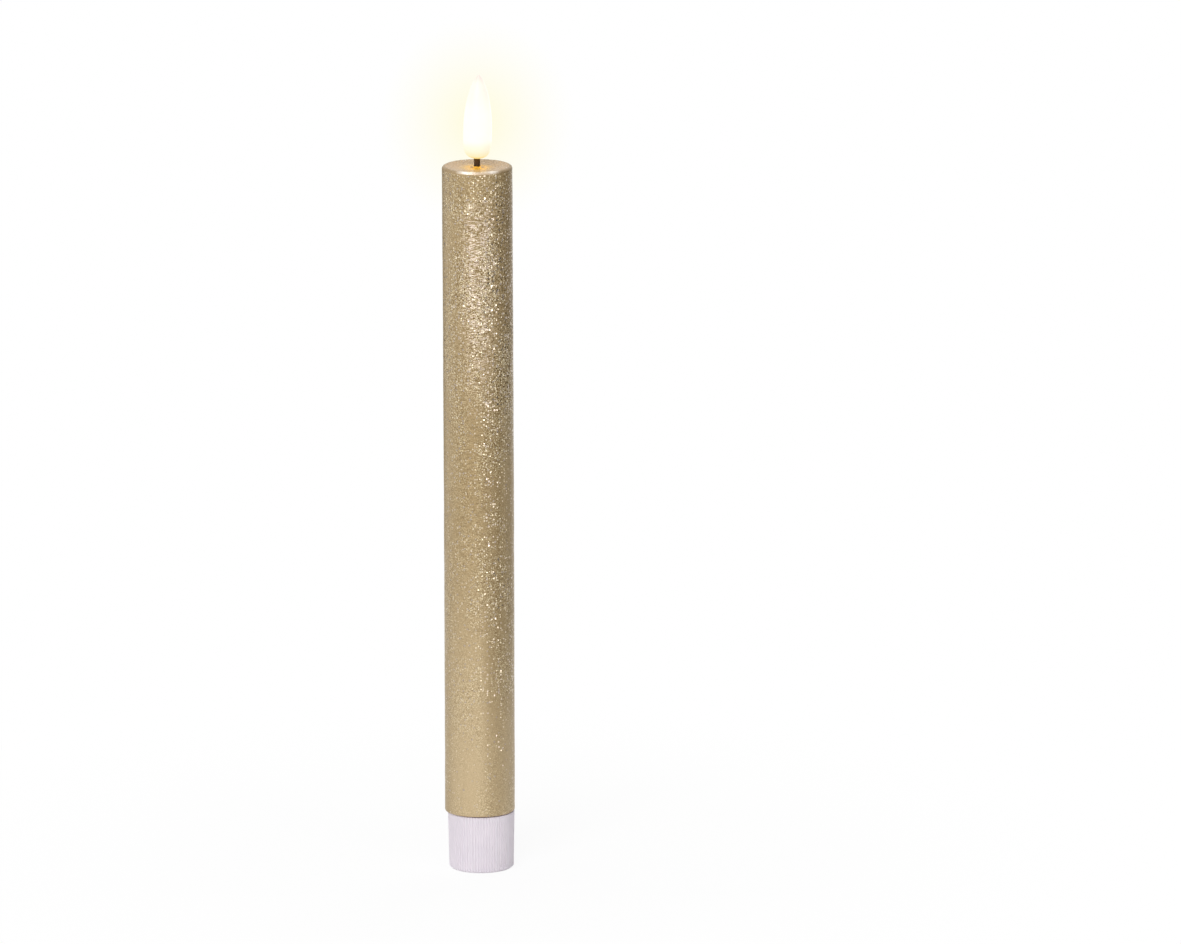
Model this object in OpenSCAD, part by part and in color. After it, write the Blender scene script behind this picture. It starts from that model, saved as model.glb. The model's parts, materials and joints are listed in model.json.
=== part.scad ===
// Flameless LED dinner candle: a wax sleeve over a plastic tube that carries two cells in line,
// a glowing flame on a short wick, and a ribbed screw cap that closes the cell bay.
// Millimetres, +Z up, origin at the centre of the cap's flat foot.

/* [Wax sleeve] */
// Outer diameter of the wax sleeve
wax_d = 22; // [20:0.5:30]
// Length of the wax sleeve
wax_h = 207.2; // [190:1:300]
// Wall of the wax sleeve
wax_wall = 2; // [1.5:0.1:3]
// Thickness of wax over the end of the inner tube
wax_lid = 4; // [2.5:0.5:6]
// Radius of the rounded upper rim
wax_rim_r = 1.3; // [0.5:0.1:1.8]
// Radius of the rounded lower rim
wax_foot_r = 0.6; // [0.3:0.1:0.8]
// Depth of the shallow dish in the upper face
wax_dish = 0.5; // [0.2:0.1:1]

/* [Inner tube] */
// Wall of the inner tube
tube_wall = 1; // [0.8:0.1:1.4]

/* [Flame and wick] */
// Height of the flame shell
flame_h = 26.5; // [20:0.5:36]
// Largest diameter of the flame shell
flame_d = 8.9; // [7:0.1:12]
// Height of the widest ring above the bottom of the flame
flame_belly = 9.5; // [7:0.5:12]
// Wall of the flame shell
flame_wall = 0.9; // [0.6:0.1:1.2]
// Lean of the flame on its wick, in degrees
flame_lean = 1.5; // [0:0.5:3]
// Diameter of the wick sleeve
wick_d = 2; // [1.8:0.1:2.6]
// Wick that shows between the wax and the flame
wick_exposed = 2.4; // [1.5:0.1:6]
// Length of wick held in the top plug
wick_seat = 4.5; // [3:0.5:7]
// Wall of the wick sleeve
wick_wall = 0.2; // [0.15:0.05:0.3]
// Diameter of the light-emitting diode's body
led_d = 3; // [2.5:0.1:3.5]
// Height of the diode with its flange
led_h = 5.3; // [4:0.1:6.5]
// How far the diode's flange stands out from its body
led_flange = 0.4; // [0.2:0.1:0.5]
// Diameter of each diode lead
lead_d = 0.5; // [0.4:0.05:0.5]
// Distance between the two diode leads
lead_pitch = 0.9; // [0.8:0.05:0.95]
// Length of lead soldered along the circuit board
lead_lap = 5; // [3:0.5:8]

/* [Cells] */
// Diameter of a cell
cell_d = 10.5; // [10:0.1:11]
// Length of a cell with its contact stud
cell_h = 44.5; // [40:0.5:50]
// Diameter of the contact stud
stud_d = 3.8; // [3:0.1:5]
// Height of the contact stud
stud_h = 1; // [0.6:0.1:1.4]

/* [Cell housing] */
// Wall of the cell housing
housing_wall = 1; // [0.8:0.1:1.2]
// Outer diameter of the threaded collar
collar_d = 15.5; // [15:0.1:15.6]
// Height of the flange that carries the inner tube
flange_h = 0.6; // [0.5:0.1:1]
// Length of the plug that centres the inner tube
shoulder_h = 6; // [4:0.5:12]
// Height of the upper centring ring
guide_h = 2; // [1.5:0.5:4]
// Depth of the end plug in the housing
end_plug_h = 4; // [3:0.5:6]
// Width of the contact strip
strip_w = 3; // [2:0.1:3.5]
// Thickness of the contact strip
strip_t = 0.3; // [0.2:0.05:0.35]
// Contact strip that stands above the housing
strip_tail = 7; // [5:0.5:12]

/* [Screw cap] */
// Height of the screw cap
cap_h = 18.2; // [17.5:0.1:22]
// Diameter over the ribs at the rim of the cap
cap_rim_d = 21; // [20.4:0.1:21.6]
// Diameter over the ribs at the foot of the cap
cap_foot_d = 20.3; // [19.8:0.1:21]
// Number of grooves between the ribs
rib_count = 72; // [48:4:90]
// Depth of the grooves
rib_depth = 0.22; // [0.1:0.02:0.3]
// Chamfer of the foot's edge
foot_chamfer = 0.5; // [0.2:0.1:0.8]
// Thickness of the cap's floor
floor_t = 1.5; // [1.3:0.1:2]
// Diameter of the bore that takes the collar
cap_bore_d = 17.5; // [17.3:0.1:17.8]
// Diameter of the well under the cap board
well_d = 14.4; // [13.6:0.1:15]
// Pitch of the thread
thread_pitch = 3; // [2.4:0.1:3.4]
// Height of the thread ridges across the radius
thread_depth = 0.7; // [0.6:0.05:0.75]
// Height of the thread ridges along the axis
thread_w = 1.1; // [0.7:0.05:1.2]

/* [Switch and spring] */
// Length of the switch case
switch_l = 8.6; // [7.5:0.1:9.5]
// Width of the switch case
switch_w = 3.6; // [3.2:0.1:4]
// Height of the switch case
switch_h = 3.4; // [3:0.1:4]
// Travel of the switch lever
switch_travel = 2; // [1.5:0.1:2.4]
// Length of the switch lever along its travel
lever_l = 1.6; // [1.2:0.1:2]
// Width of the switch lever
lever_w = 1.8; // [1.4:0.1:2]
// Depth of the finger recess round the lever
recess_depth = 0.7; // [0.5:0.1:0.8]
// Wire diameter of the spring
spring_wire = 0.5; // [0.4:0.05:0.6]
// Height of the spring under the cells
spring_h = 5.4; // [5:0.1:7]
// Diameter of the spring's lower coil at the wire's centre
spring_base_d = 6.4; // [5.6:0.1:6.6]
// Diameter of the spring's upper coil at the wire's centre
spring_tip_d = 4.4; // [3.5:0.1:5]
// Number of turns of the spring
spring_turns = 4; // [3:1:5]

/* [Boards and wires] */
// Thickness of the circuit boards
board_t = 1; // [0.8:0.1:1.2]
// Width of the circuit board in the tube
board_w = 11; // [9:0.5:12]
// Length of the circuit board in the tube
board_l = 30; // [28:1:45]
// Depth of the board's slot in the top plug
board_seat = 3; // [2:0.5:4]
// Diameter of the insulated wires
wire_d = 1.2; // [1:0.1:1.3]
// Length of wire soldered along the board
wire_lap = 4; // [3:0.5:5]
// Height of the timer chip above the board
chip_h = 1.5; // [1.2:0.1:1.8]
// Diameter of the capacitor
capacitor_d = 4; // [3:0.1:5]
// Height of the capacitor
capacitor_h = 5.4; // [4:0.1:6]

/* [Hidden] */
$fn = 96;

// Clearances
seat_gap = 0.1;     // between glued or pushed-in round parts
slide_gap = 0.2;    // around the cells in their bore, radially
moving_gap = 0.3;   // between parts that move past each other
touch_gap = 0.2;    // between sprung contacts and what they press on
slot_gap = 0.15;    // around flat parts in slots
skin_gap = 0.05;    // between faces that lie against each other
cut = 0.5;          // how far a cutter runs past the face that it opens

// Screw cap, from the foot upwards
board_z = floor_t + switch_h;
cap_board_top = board_z + board_t;
cap_board_d = cap_bore_d - 2 * moving_gap;
ring_t = 0.3;
ring_w = 1.3;
ring_margin = 0.2;
ring_outer_r = cap_board_d / 2 - ring_margin;
screw_head_d = 2.6;
screw_head_h = 1;
screw_d = 1.6;
screw_l = 2.6;
screw_r = switch_w / 2 + screw_head_d / 2 + moving_gap + spring_reach();
boss_d = 3;
switch_wall = 0.4;
pin_pitch = 2;
pin_r = 0.3;

// Cell stack
cell_z = cap_board_top + spring_h + touch_gap;
stack_top = cell_z + 2 * cell_h;
cell_bore_r = cell_d / 2 + slide_gap;

// Candle body
joint_z = cap_h + moving_gap;
wax_top = joint_z + wax_h;
tube_outer_r = wax_d / 2 - wax_wall - seat_gap;
tube_bore_r = tube_outer_r - tube_wall;
tube_top = wax_top - wax_lid - moving_gap;
housing_r = cell_bore_r + housing_wall;
collar_lift = 0.8;
collar_z = cap_board_top + ring_t + screw_head_h + collar_lift;
contact_gap_h = 1.1;
contact_z = stack_top + contact_gap_h;
contact_t = 0.3;
housing_top = contact_z + contact_t + end_plug_h;
guide_drop = 8;
guide_z = housing_top - guide_drop;
strip_x = housing_r + skin_gap;
strip_foot_z = cap_board_top + ring_t + touch_gap;
strip_foot_x = ring_outer_r - ring_margin;
slot_w = strip_w + 2 * slot_gap;

// Thread
thread_turns = 1;
thread_lead_in = 1;
male_z = collar_z + thread_w / 2 + thread_lead_in;
female_z = male_z + thread_pitch / 2;

// Top of the candle
plug_web = 0.5;
plug_h = wick_seat + board_seat + plug_web;
plug_z = tube_top - plug_h;
flame_z = wax_top + wick_exposed;
flame_inner_r = flame_d / 2 - flame_wall;
flame_inner_belly = flame_belly - flame_wall;
flame_inner_h = flame_h - 3 * flame_wall;
led_z = flame_z + flame_wall
    + flame_height(led_d / 2 + led_flange + 2 * seat_gap, flame_inner_r, flame_inner_belly);
wick_z = tube_top - wick_seat;
board_top = plug_z + board_seat - seat_gap;
board_face_y = -lead_d / 2 - skin_gap;
board_mid_y = board_face_y - board_t / 2;

// Wires run from the housing to the lower end of the circuit board. Their free points are given
// sideways as shares of the tube's bore and upwards as shares of the run.
board_low = board_top - board_l;
wire_inset = 2.5;
wire_side_x = board_w / 2 - wire_inset;
wire_lie_y = board_face_y + wire_d / 2 + seat_gap;
wire_lift_y = wire_lie_y + 0.7 * wire_d;
wire_sides = 8;
strip_tail_z = housing_top + strip_tail;
strip_wire_x = strip_x - wire_d / 2 - skin_gap;
red_route = concat(
    [[0, 0, contact_z + contact_t + seat_gap]],
    route_points(housing_top, [[0, 0, 0.02], [0.08, 0.08, 0.15], [0.1, 0.25, 0.32],
        [-0.2, 0.33, 0.52], [-0.38, 0.25, 0.8]]),
    board_end_points(-wire_side_x)
);
black_route = concat(
    [[strip_wire_x, 0, strip_tail_z - strip_tail / 2], [strip_wire_x, 0, strip_tail_z]],
    route_points(strip_tail_z, [[0.66, -0.13, 0.14], [0.5, -0.3, 0.33], [0.43, -0.13, 0.52],
        [0.43, 0.25, 0.78]]),
    board_end_points(wire_side_x)
);

// Free points of a wire between a start height and the board.
function route_points(start_z, shares) = [for (s = shares)
    [s[0] * tube_bore_r, s[1] * tube_bore_r, start_z + s[2] * (board_low - start_z)]];

// Last points of a wire, where it bends down to the board and is soldered along its face.
function board_end_points(x) = [
    [x, wire_lift_y, board_low - 1.5 * wire_lap], [x, wire_lie_y, board_low],
    [x, wire_lie_y, board_low + wire_lap]
];

// How far the spring's lower coil reaches past the switch's half width.
function spring_reach() = max(0, spring_base_d / 2 + spring_wire / 2 - switch_w / 2);

// Radius of the flame's outline at a height, for a flame of this radius, height and belly.
function flame_radius(z, r, h, belly) =
    z < belly
        ? r * pow(max(0, 1 - pow((belly - z) / belly, 5)), 0.36)
        : r * pow(max(0, 1 - pow((z - belly) / (h - belly), 2)), 0.7);

// Height below the belly at which the flame's outline reaches a radius.
function flame_height(radius, r, belly) = belly * (1 - pow(1 - pow(radius / r, 1 / 0.36), 1 / 5));

// Heights that crowd towards both ends, so that the outline is smooth at the bottom and the tip.
function eased_heights(h, steps) = [for (i = [0:steps]) h * (1 - cos(180 * i / steps)) / 2];

// Outline of a flame from a hole at its bottom to its tip.
function flame_outline(r, h, belly, hole_r) = concat(
    [[0, 0], [hole_r, 0]],
    [for (z = eased_heights(h, 30)) if (z > 0 && flame_radius(z, r, h, belly) > hole_r || z > belly)
        [flame_radius(z, r, h, belly), z]]
);

// Points of a quarter circle about a centre, from one angle to another.
function arc(centre, r, from, to, steps = 8) =
    [for (i = [0:steps]) let (a = from + (to - from) * i / steps) centre + r * [cos(a), sin(a)]];

// Smooth curve through the points, with this many steps between neighbours.
function curve_point(a, b, c, d, t) =
    0.5 * (2 * b + (c - a) * t + (2 * a - 5 * b + 4 * c - d) * t * t
        + (3 * b - a - 3 * c + d) * t * t * t);
function smooth(points, steps) = let (last = len(points) - 1) concat(
    [for (i = [0:last - 1], s = [0:steps - 1]) curve_point(
        points[max(i - 1, 0)], points[i], points[i + 1], points[min(i + 2, last)], s / steps)],
    [points[last]]
);

// Ring of points about a place on a path, square to the path's direction.
function unit(v) = v / norm(v);
function ring_points(centre, direction, r, sides, reference) =
    let (side = unit(cross(direction, reference)), up = unit(cross(side, direction)))
    [for (k = [0:sides - 1]) centre + r * (cos(360 * k / sides) * side + sin(360 * k / sides) * up)];

// Round rod that follows a path and is closed at both ends.
module swept_rod(path, r, sides, reference = [1, 0, 0]) {
    last = len(path) - 1;
    rings = [for (i = [0:last])
        ring_points(path[i], unit(path[min(i + 1, last)] - path[max(i - 1, 0)]), r, sides, reference)];
    points = [for (ring = rings, p = ring) p];
    walls = [for (i = [0:last - 1], k = [0:sides - 1]) let (j = (k + 1) % sides)
        [i * sides + k, i * sides + j, (i + 1) * sides + j, (i + 1) * sides + k]];
    lower = [for (k = [sides - 1:-1:0]) k];
    upper = [for (k = [0:sides - 1]) last * sides + k];
    polyhedron(points, concat(walls, [lower, upper]), convexity = 10);
}

// Helical ridge with sloping flanks, which fades out at both ends. It stands from root_r to tip_r,
// outwards or inwards.
module thread_ridge(root_r, tip_r, z, pitch, turns, width) {
    steps = ceil(60 * turns);
    fade_steps = 5;
    tip_w = width * 0.55;
    inward = tip_r < root_r;
    corners = 4;
    points = [for (i = [0:steps]) let (
        a = 360 * turns * i / steps,
        fade = min(1, (min(i, steps - i) + 1) / fade_steps),
        r = root_r + (tip_r - root_r) * fade)
        for (c = [[root_r, -width / 2], [r, -tip_w / 2], [r, tip_w / 2], [root_r, width / 2]])
            [c[0] * cos(a), c[0] * sin(a), z + c[1] + pitch * turns * i / steps]];
    walls = [for (i = [0:steps - 1], k = [0:corners - 1]) let (j = (k + 1) % corners)
        [i * corners + k, i * corners + j, (i + 1) * corners + j, (i + 1) * corners + k]];
    ends = [[for (k = [corners - 1:-1:0]) k], [for (k = [0:corners - 1]) steps * corners + k]];
    faces = concat(walls, ends);
    polyhedron(points, inward ? [for (f = faces) [for (k = [len(f) - 1:-1:0]) f[k]]] : faces,
        convexity = 10);
}

// Tube between two heights.
module pipe(z0, z1, bore_r, outer_r) {
    translate([0, 0, z0]) difference() {
        cylinder(h = z1 - z0, r = outer_r);
        translate([0, 0, -cut]) cylinder(h = z1 - z0 + 2 * cut, r = bore_r);
    }
}

// Block from a lowest to a highest corner.
module block(low, high) {
    translate(low) cube(high - low);
}

module wax_sleeve() {
    bore_r = tube_outer_r + seat_gap;
    outer_r = wax_d / 2;
    hole_r = wick_d / 2 + seat_gap;
    lid_z = wax_h - wax_lid;
    rim_land = 0.4;
    dish_r = outer_r - wax_rim_r - rim_land;
    color([0.72, 0.6, 0.42]) translate([0, 0, joint_z]) rotate_extrude(convexity = 4) polygon(concat(
        [[bore_r, 0]],
        arc([outer_r - wax_foot_r, wax_foot_r], wax_foot_r, -90, 0, 5),
        arc([outer_r - wax_rim_r, wax_h - wax_rim_r], wax_rim_r, 0, 90, 8),
        [[dish_r, wax_h], [dish_r * 0.6, wax_h - wax_dish * 0.8], [hole_r, wax_h - wax_dish]],
        [[hole_r, lid_z], [bore_r, lid_z]]
    ));
}

module inner_tube() {
    color([0.93, 0.92, 0.88]) pipe(joint_z, tube_top, tube_bore_r, tube_outer_r);
}

module top_plug() {
    slot_half_w = board_w / 2 + slot_gap;
    slot_back_y = board_mid_y - board_t / 2 - slot_gap;
    color([0.93, 0.92, 0.88]) difference() {
        translate([0, 0, plug_z]) cylinder(h = plug_h, r = tube_bore_r - seat_gap);
        translate([0, 0, wick_z]) cylinder(h = wick_seat + cut, r = wick_d / 2 + seat_gap / 2);
        block([-slot_half_w, slot_back_y, plug_z - cut],
            [slot_half_w, -slot_back_y, plug_z + board_seat]);
        translate([0, 0, plug_z]) cylinder(h = wick_z - plug_z + cut, r = wick_d / 2 - wick_wall);
    }
}

module flame_shell() {
    hole_r = wick_d / 2 + seat_gap / 2;
    lip = 0.3;
    color([1, 0.93, 0.76]) translate([0, 0, flame_z]) rotate([0, flame_lean, 0]) difference() {
        rotate_extrude(convexity = 4)
            polygon(flame_outline(flame_d / 2, flame_h, flame_belly, hole_r + lip));
        translate([0, 0, flame_wall]) rotate_extrude(convexity = 4)
            polygon(flame_outline(flame_inner_r, flame_inner_h, flame_inner_belly, hole_r));
        translate([0, 0, -cut]) cylinder(h = flame_wall + 2 * cut, r = hole_r);
    }
}

module wick_sleeve() {
    color([0.16, 0.12, 0.11]) pipe(wick_z, led_z, wick_d / 2 - wick_wall, wick_d / 2);
}

module led_body() {
    flange_r = led_d / 2 + led_flange;
    flange_thickness = 1;
    straight_h = led_h - led_d / 2;
    color([1, 0.97, 0.85]) translate([0, 0, led_z]) rotate_extrude() polygon(concat(
        [[0, 0], [flange_r, 0], [flange_r, flange_thickness], [led_d / 2, flange_thickness]],
        arc([0, straight_h], led_d / 2, 0, 90, 8)
    ));
}

module led_leads() {
    low = board_top - lead_lap;
    color([0.75, 0.76, 0.78]) for (side = [-1, 1])
        translate([side * lead_pitch / 2, 0, low]) cylinder(h = led_z - low, d = lead_d, $fn = 24);
}

module circuit_board() {
    color([0.1, 0.38, 0.2])
        block([-board_w / 2, board_face_y - board_t, board_low],
            [board_w / 2, board_face_y, board_top]);
}

// Chip body with four legs on each side, flat on the board's face.
module timer_chip() {
    body_w = 3.9;
    body_l = 4.9;
    leg_pitch = 1.27;
    leg_w = 0.42;
    leg_reach = 1;
    leg_t = 0.25;
    leg_seat = 0.1;
    lift = 0.15;
    z = board_low + board_l * 0.62;
    color([0.12, 0.12, 0.13]) {
        block([-body_w / 2, board_face_y + lift, z - body_l / 2],
            [body_w / 2, board_face_y + chip_h, z + body_l / 2]);
        for (i = [-1.5:1:1.5], side = [-1, 1]) {
            leg_z = z + i * leg_pitch;
            x = side * (body_w / 2 + leg_reach / 2);
            block([x - leg_reach / 2 - leg_seat, board_face_y, leg_z - leg_w / 2],
                [x + leg_reach / 2, board_face_y + lift + leg_t, leg_z + leg_w / 2]);
        }
    }
}

module resistor() {
    length = 2;
    width = 1.25;
    height = 0.5;
    edge = 1.4;
    x = board_w / 2 - edge;
    z = board_low + board_l * 0.42;
    color([0.14, 0.14, 0.15])
        block([x - width / 2, board_face_y, z - length / 2],
            [x + width / 2, board_face_y + height, z + length / 2]);
}

module capacitor() {
    z = board_low + board_l * 0.3;
    base_w = capacitor_d + 0.3;
    base_h = 0.4;
    color([0.7, 0.72, 0.75]) translate([0, board_face_y, z]) rotate([-90, 0, 0]) {
        cylinder(h = capacitor_h, d = capacitor_d, $fn = 48);
        translate([-base_w / 2, -base_w / 2, 0]) cube([base_w, base_w, base_h]);
    }
}

module red_wire() {
    color([0.8, 0.08, 0.07]) swept_rod(smooth(red_route, 5), wire_d / 2, wire_sides);
}

module black_wire() {
    color([0.08, 0.08, 0.09]) swept_rod(smooth(black_route, 5), wire_d / 2, wire_sides);
}

// Tube for the two cells, with the threaded collar, the flange and the two centring rings.
module cell_housing() {
    guide_r = tube_bore_r - seat_gap;
    flange_r = cap_bore_d / 2 - moving_gap;
    ridge_root = 0.3;
    color([0.9, 0.9, 0.87]) {
        difference() {
            union() {
                translate([0, 0, collar_z]) cylinder(h = housing_top - collar_z, r = housing_r);
                translate([0, 0, collar_z]) cylinder(h = joint_z - collar_z, d = collar_d);
                translate([0, 0, joint_z - flange_h]) cylinder(h = flange_h, r = flange_r);
                translate([0, 0, joint_z - flange_h]) cylinder(h = flange_h + shoulder_h, r = guide_r);
                translate([0, 0, guide_z]) cylinder(h = guide_h, r = guide_r);
                thread_ridge(collar_d / 2 - ridge_root, collar_d / 2 + thread_depth, male_z,
                    thread_pitch, thread_turns, thread_w);
            }
            translate([0, 0, collar_z - cut])
                cylinder(h = housing_top - collar_z + 2 * cut, r = cell_bore_r);
            block([strip_x - skin_gap, -slot_w / 2, collar_z - cut],
                [strip_x + strip_t + slot_gap, slot_w / 2, guide_z + guide_h + cut]);
        }
    }
}

module housing_end_plug() {
    color([0.9, 0.9, 0.87])
        pipe(contact_z + contact_t, housing_top, wire_d / 2 + slot_gap, cell_bore_r - seat_gap);
}

// Plate with a dimple that reaches down to the upper cell's stud.
module positive_contact() {
    plate_r = cell_bore_r - seat_gap;
    dimple_r = stud_d / 2;
    dimple_tip_r = dimple_r * 0.6;
    dimple_h = contact_gap_h - touch_gap;
    color([0.82, 0.8, 0.72]) translate([0, 0, contact_z]) difference() {
        union() {
            cylinder(h = contact_t, r = plate_r);
            translate([0, 0, -dimple_h]) cylinder(h = dimple_h, r1 = dimple_tip_r, r2 = dimple_r);
        }
        translate([0, 0, contact_t - dimple_h]) cylinder(h = dimple_h - contact_t,
            r1 = dimple_tip_r - contact_t, r2 = dimple_r - contact_t);
    }
}

// Strip along the housing, with a foot that wipes on the cap's contact ring.
module contact_strip() {
    color([0.82, 0.8, 0.72]) {
        block([strip_x, -strip_w / 2, strip_foot_z], [strip_x + strip_t, strip_w / 2, strip_tail_z]);
        block([strip_x, -strip_w / 2, strip_foot_z], [strip_foot_x, strip_w / 2, strip_foot_z + strip_t]);
    }
}

// Round cell that stands on its flat end, with its stud upwards.
module cell(z) {
    bead = 0.4;
    stud_bead = 0.25;
    can_h = cell_h - stud_h;
    r = cell_d / 2;
    translate([0, 0, z]) rotate_extrude() polygon(concat(
        [[0, 0]], arc([r - bead, bead], bead, -90, 0, 4), arc([r - bead, can_h - bead], bead, 0, 90, 4),
        [[stud_d / 2, can_h]], arc([stud_d / 2 - stud_bead, cell_h - stud_bead], stud_bead, 0, 90, 3),
        [[0, cell_h]]
    ));
}

module upper_cell() {
    color([0.2, 0.22, 0.25]) cell(cell_z + cell_h);
}

module lower_cell() {
    color([0.2, 0.22, 0.25]) cell(cell_z);
}

// Cup with ribs outside, a thread inside, a ledge for the board and a window for the lever.
module screw_cap() {
    foot_r = cap_foot_d / 2;
    rim_r = cap_rim_d / 2;
    draft = atan((rim_r - foot_r) / cap_h);
    groove_w = 0.5;
    window_l = switch_travel + lever_l + 2 * slot_gap;
    window_w = lever_w + 2 * slot_gap;
    recess_l = window_l + 3;
    recess_w = window_w + 2;
    boss_root = 0.1;
    ridge_root = 0.3;
    screw_clearance_h = 0.3;
    screw_hole_d = screw_d + 0.1;
    color([0.9, 0.88, 0.9]) difference() {
        union() {
            difference() {
                cylinder(h = cap_h, r1 = foot_r, r2 = rim_r);
                translate([0, 0, floor_t]) cylinder(h = cap_h, d = well_d);
                translate([0, 0, board_z]) cylinder(h = cap_h, d = cap_bore_d);
            }
            for (side = [-1, 1]) translate([0, side * screw_r, floor_t - boss_root])
                cylinder(h = switch_h + boss_root, d = boss_d, $fn = 32);
            thread_ridge(cap_bore_d / 2 + ridge_root, cap_bore_d / 2 - thread_depth, female_z,
                thread_pitch, thread_turns, thread_w);
        }
        for (i = [0:rib_count - 1]) rotate([0, 0, 360 * i / rib_count]) translate([foot_r, 0, 0])
            rotate([0, draft, 0]) translate([0, 0, -cut]) rib_groove(groove_w);
        difference() {
            translate([0, 0, -cut]) cylinder(h = foot_chamfer + cut, r = rim_r + cut);
            translate([0, 0, -cut])
                cylinder(h = foot_chamfer + cut, r1 = foot_r - foot_chamfer - cut, r2 = foot_r);
        }
        block([-recess_l / 2, -recess_w / 2, -cut], [recess_l / 2, recess_w / 2, recess_depth]);
        block([-window_l / 2, -window_w / 2, -cut], [window_l / 2, window_w / 2, floor_t + cut]);
        for (side = [-1, 1]) translate([0, side * screw_r, board_z - screw_l - screw_clearance_h])
            cylinder(h = screw_l + cut, d = screw_hole_d, $fn = 24);
    }
}

// Three-sided cutter for one groove, standing on the origin and running along +Z.
module rib_groove(width) {
    depth = rib_depth;
    linear_extrude(height = cap_h + 4 * cut)
        polygon([[-depth, 0], [cut, -width / 2 * (1 + cut / depth)], [cut, width / 2 * (1 + cut / depth)]]);
}

module cap_board() {
    color([0.1, 0.38, 0.2]) difference() {
        translate([0, 0, board_z]) cylinder(h = board_t, d = cap_board_d);
        for (side = [-1, 1]) translate([0, side * screw_r, board_z - cut])
            cylinder(h = board_t + 2 * cut, r = screw_d / 2 + seat_gap, $fn = 24);
        for (i = [-1:1]) translate([i * pin_pitch, 0, board_z - cut])
            cylinder(h = board_t + 2 * cut, r = pin_r + seat_gap, $fn = 24);
    }
}

module board_screws() {
    cross_l = 1.5;
    cross_w = 0.4;
    color([0.7, 0.71, 0.73]) for (side = [-1, 1]) translate([0, side * screw_r, 0]) {
        translate([0, 0, board_z - screw_l]) cylinder(h = screw_l + board_t, d = screw_d, $fn = 24);
        difference() {
            translate([0, 0, cap_board_top]) cylinder(h = screw_head_h, d = screw_head_d, $fn = 36);
            for (turn = [0, 90]) translate([0, 0, cap_board_top + screw_head_h]) rotate([0, 0, turn])
                cube([cross_l, cross_w, screw_head_h], center = true);
        }
    }
}

module contact_ring() {
    color([0.82, 0.8, 0.72])
        pipe(cap_board_top, cap_board_top + ring_t, ring_outer_r - ring_w, ring_outer_r);
}

// Conical coil with a flat turn at each end.
module negative_spring() {
    steps = spring_turns * 20;
    low = cap_board_top + spring_wire / 2;
    high = cap_board_top + spring_h - spring_wire / 2;
    flat = 0.8 / spring_turns;
    path = [for (i = [0:steps]) let (
        t = i / steps,
        rise = min(1, max(0, (t - flat) / (1 - 2 * flat))),
        r = spring_base_d / 2 + (spring_tip_d - spring_base_d) / 2 * t,
        a = 360 * spring_turns * t)
        [r * cos(a), r * sin(a), low + (high - low) * rise]];
    color([0.75, 0.76, 0.78]) swept_rod(path, spring_wire / 2, 8, [0, 0, 1]);
}

// Hollow case, open below for the lever.
module switch_case() {
    slot_l = switch_travel + lever_l + 2 * slot_gap;
    slot_half_w = lever_w / 2 + slot_gap;
    inner_half_l = switch_l / 2 - switch_wall;
    inner_half_w = switch_w / 2 - switch_wall;
    color([0.72, 0.73, 0.75]) difference() {
        block([-switch_l / 2, -switch_w / 2, floor_t], [switch_l / 2, switch_w / 2, board_z]);
        block([-inner_half_l, -inner_half_w, floor_t + switch_wall],
            [inner_half_l, inner_half_w, board_z - 2 * switch_wall]);
        block([-slot_l / 2, -slot_half_w, floor_t - cut],
            [slot_l / 2, slot_half_w, floor_t + switch_wall + cut]);
    }
}

module switch_pins() {
    pin_end = 0.4;
    color([0.82, 0.8, 0.72]) for (i = [-1:1]) translate([i * pin_pitch, 0, board_z])
        cylinder(h = board_t + pin_end, r = pin_r, $fn = 24);
}

// Lever at the ON end of its travel, with its slider inside the case.
module switch_lever() {
    tip_z = 0.25;
    overlap = 0.1;
    slider_z = floor_t + switch_wall + seat_gap;
    slider_h = 1;
    slider_half_l = min(lever_l / 2 + 1, switch_l / 2 - switch_wall - switch_travel / 2 - slot_gap);
    slider_half_w = switch_w / 2 - switch_wall - seat_gap;
    x = -switch_travel / 2;
    color([0.12, 0.12, 0.13]) {
        block([x - lever_l / 2, -lever_w / 2, tip_z],
            [x + lever_l / 2, lever_w / 2, slider_z + overlap]);
        block([x - slider_half_l, -slider_half_w, slider_z],
            [x + slider_half_l, slider_half_w, slider_z + slider_h]);
    }
}

wax_sleeve();
inner_tube();
top_plug();
flame_shell();
wick_sleeve();
led_body();
led_leads();
circuit_board();
timer_chip();
resistor();
capacitor();
red_wire();
black_wire();
cell_housing();
housing_end_plug();
positive_contact();
contact_strip();
upper_cell();
lower_cell();
screw_cap();
cap_board();
board_screws();
contact_ring();
negative_spring();
switch_case();
switch_pins();
switch_lever();
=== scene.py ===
"""Flameless LED dinner candle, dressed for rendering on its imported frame.

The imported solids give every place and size. This script adds the finishes, the crinkled gold wax,
the glowing flame, the braided wick, the ribbed cap and the small parts of the switch, and sets
them in a plain white studio. Lengths are metres, +Z is up, and the cap's foot stands on Z = 0.
"""

import json
import logging
import math
from dataclasses import dataclass
from enum import Enum
from functools import cache, reduce
from typing import Any, Callable, Sequence

import bmesh
import bpy
from mathutils import Matrix, Vector

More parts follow.
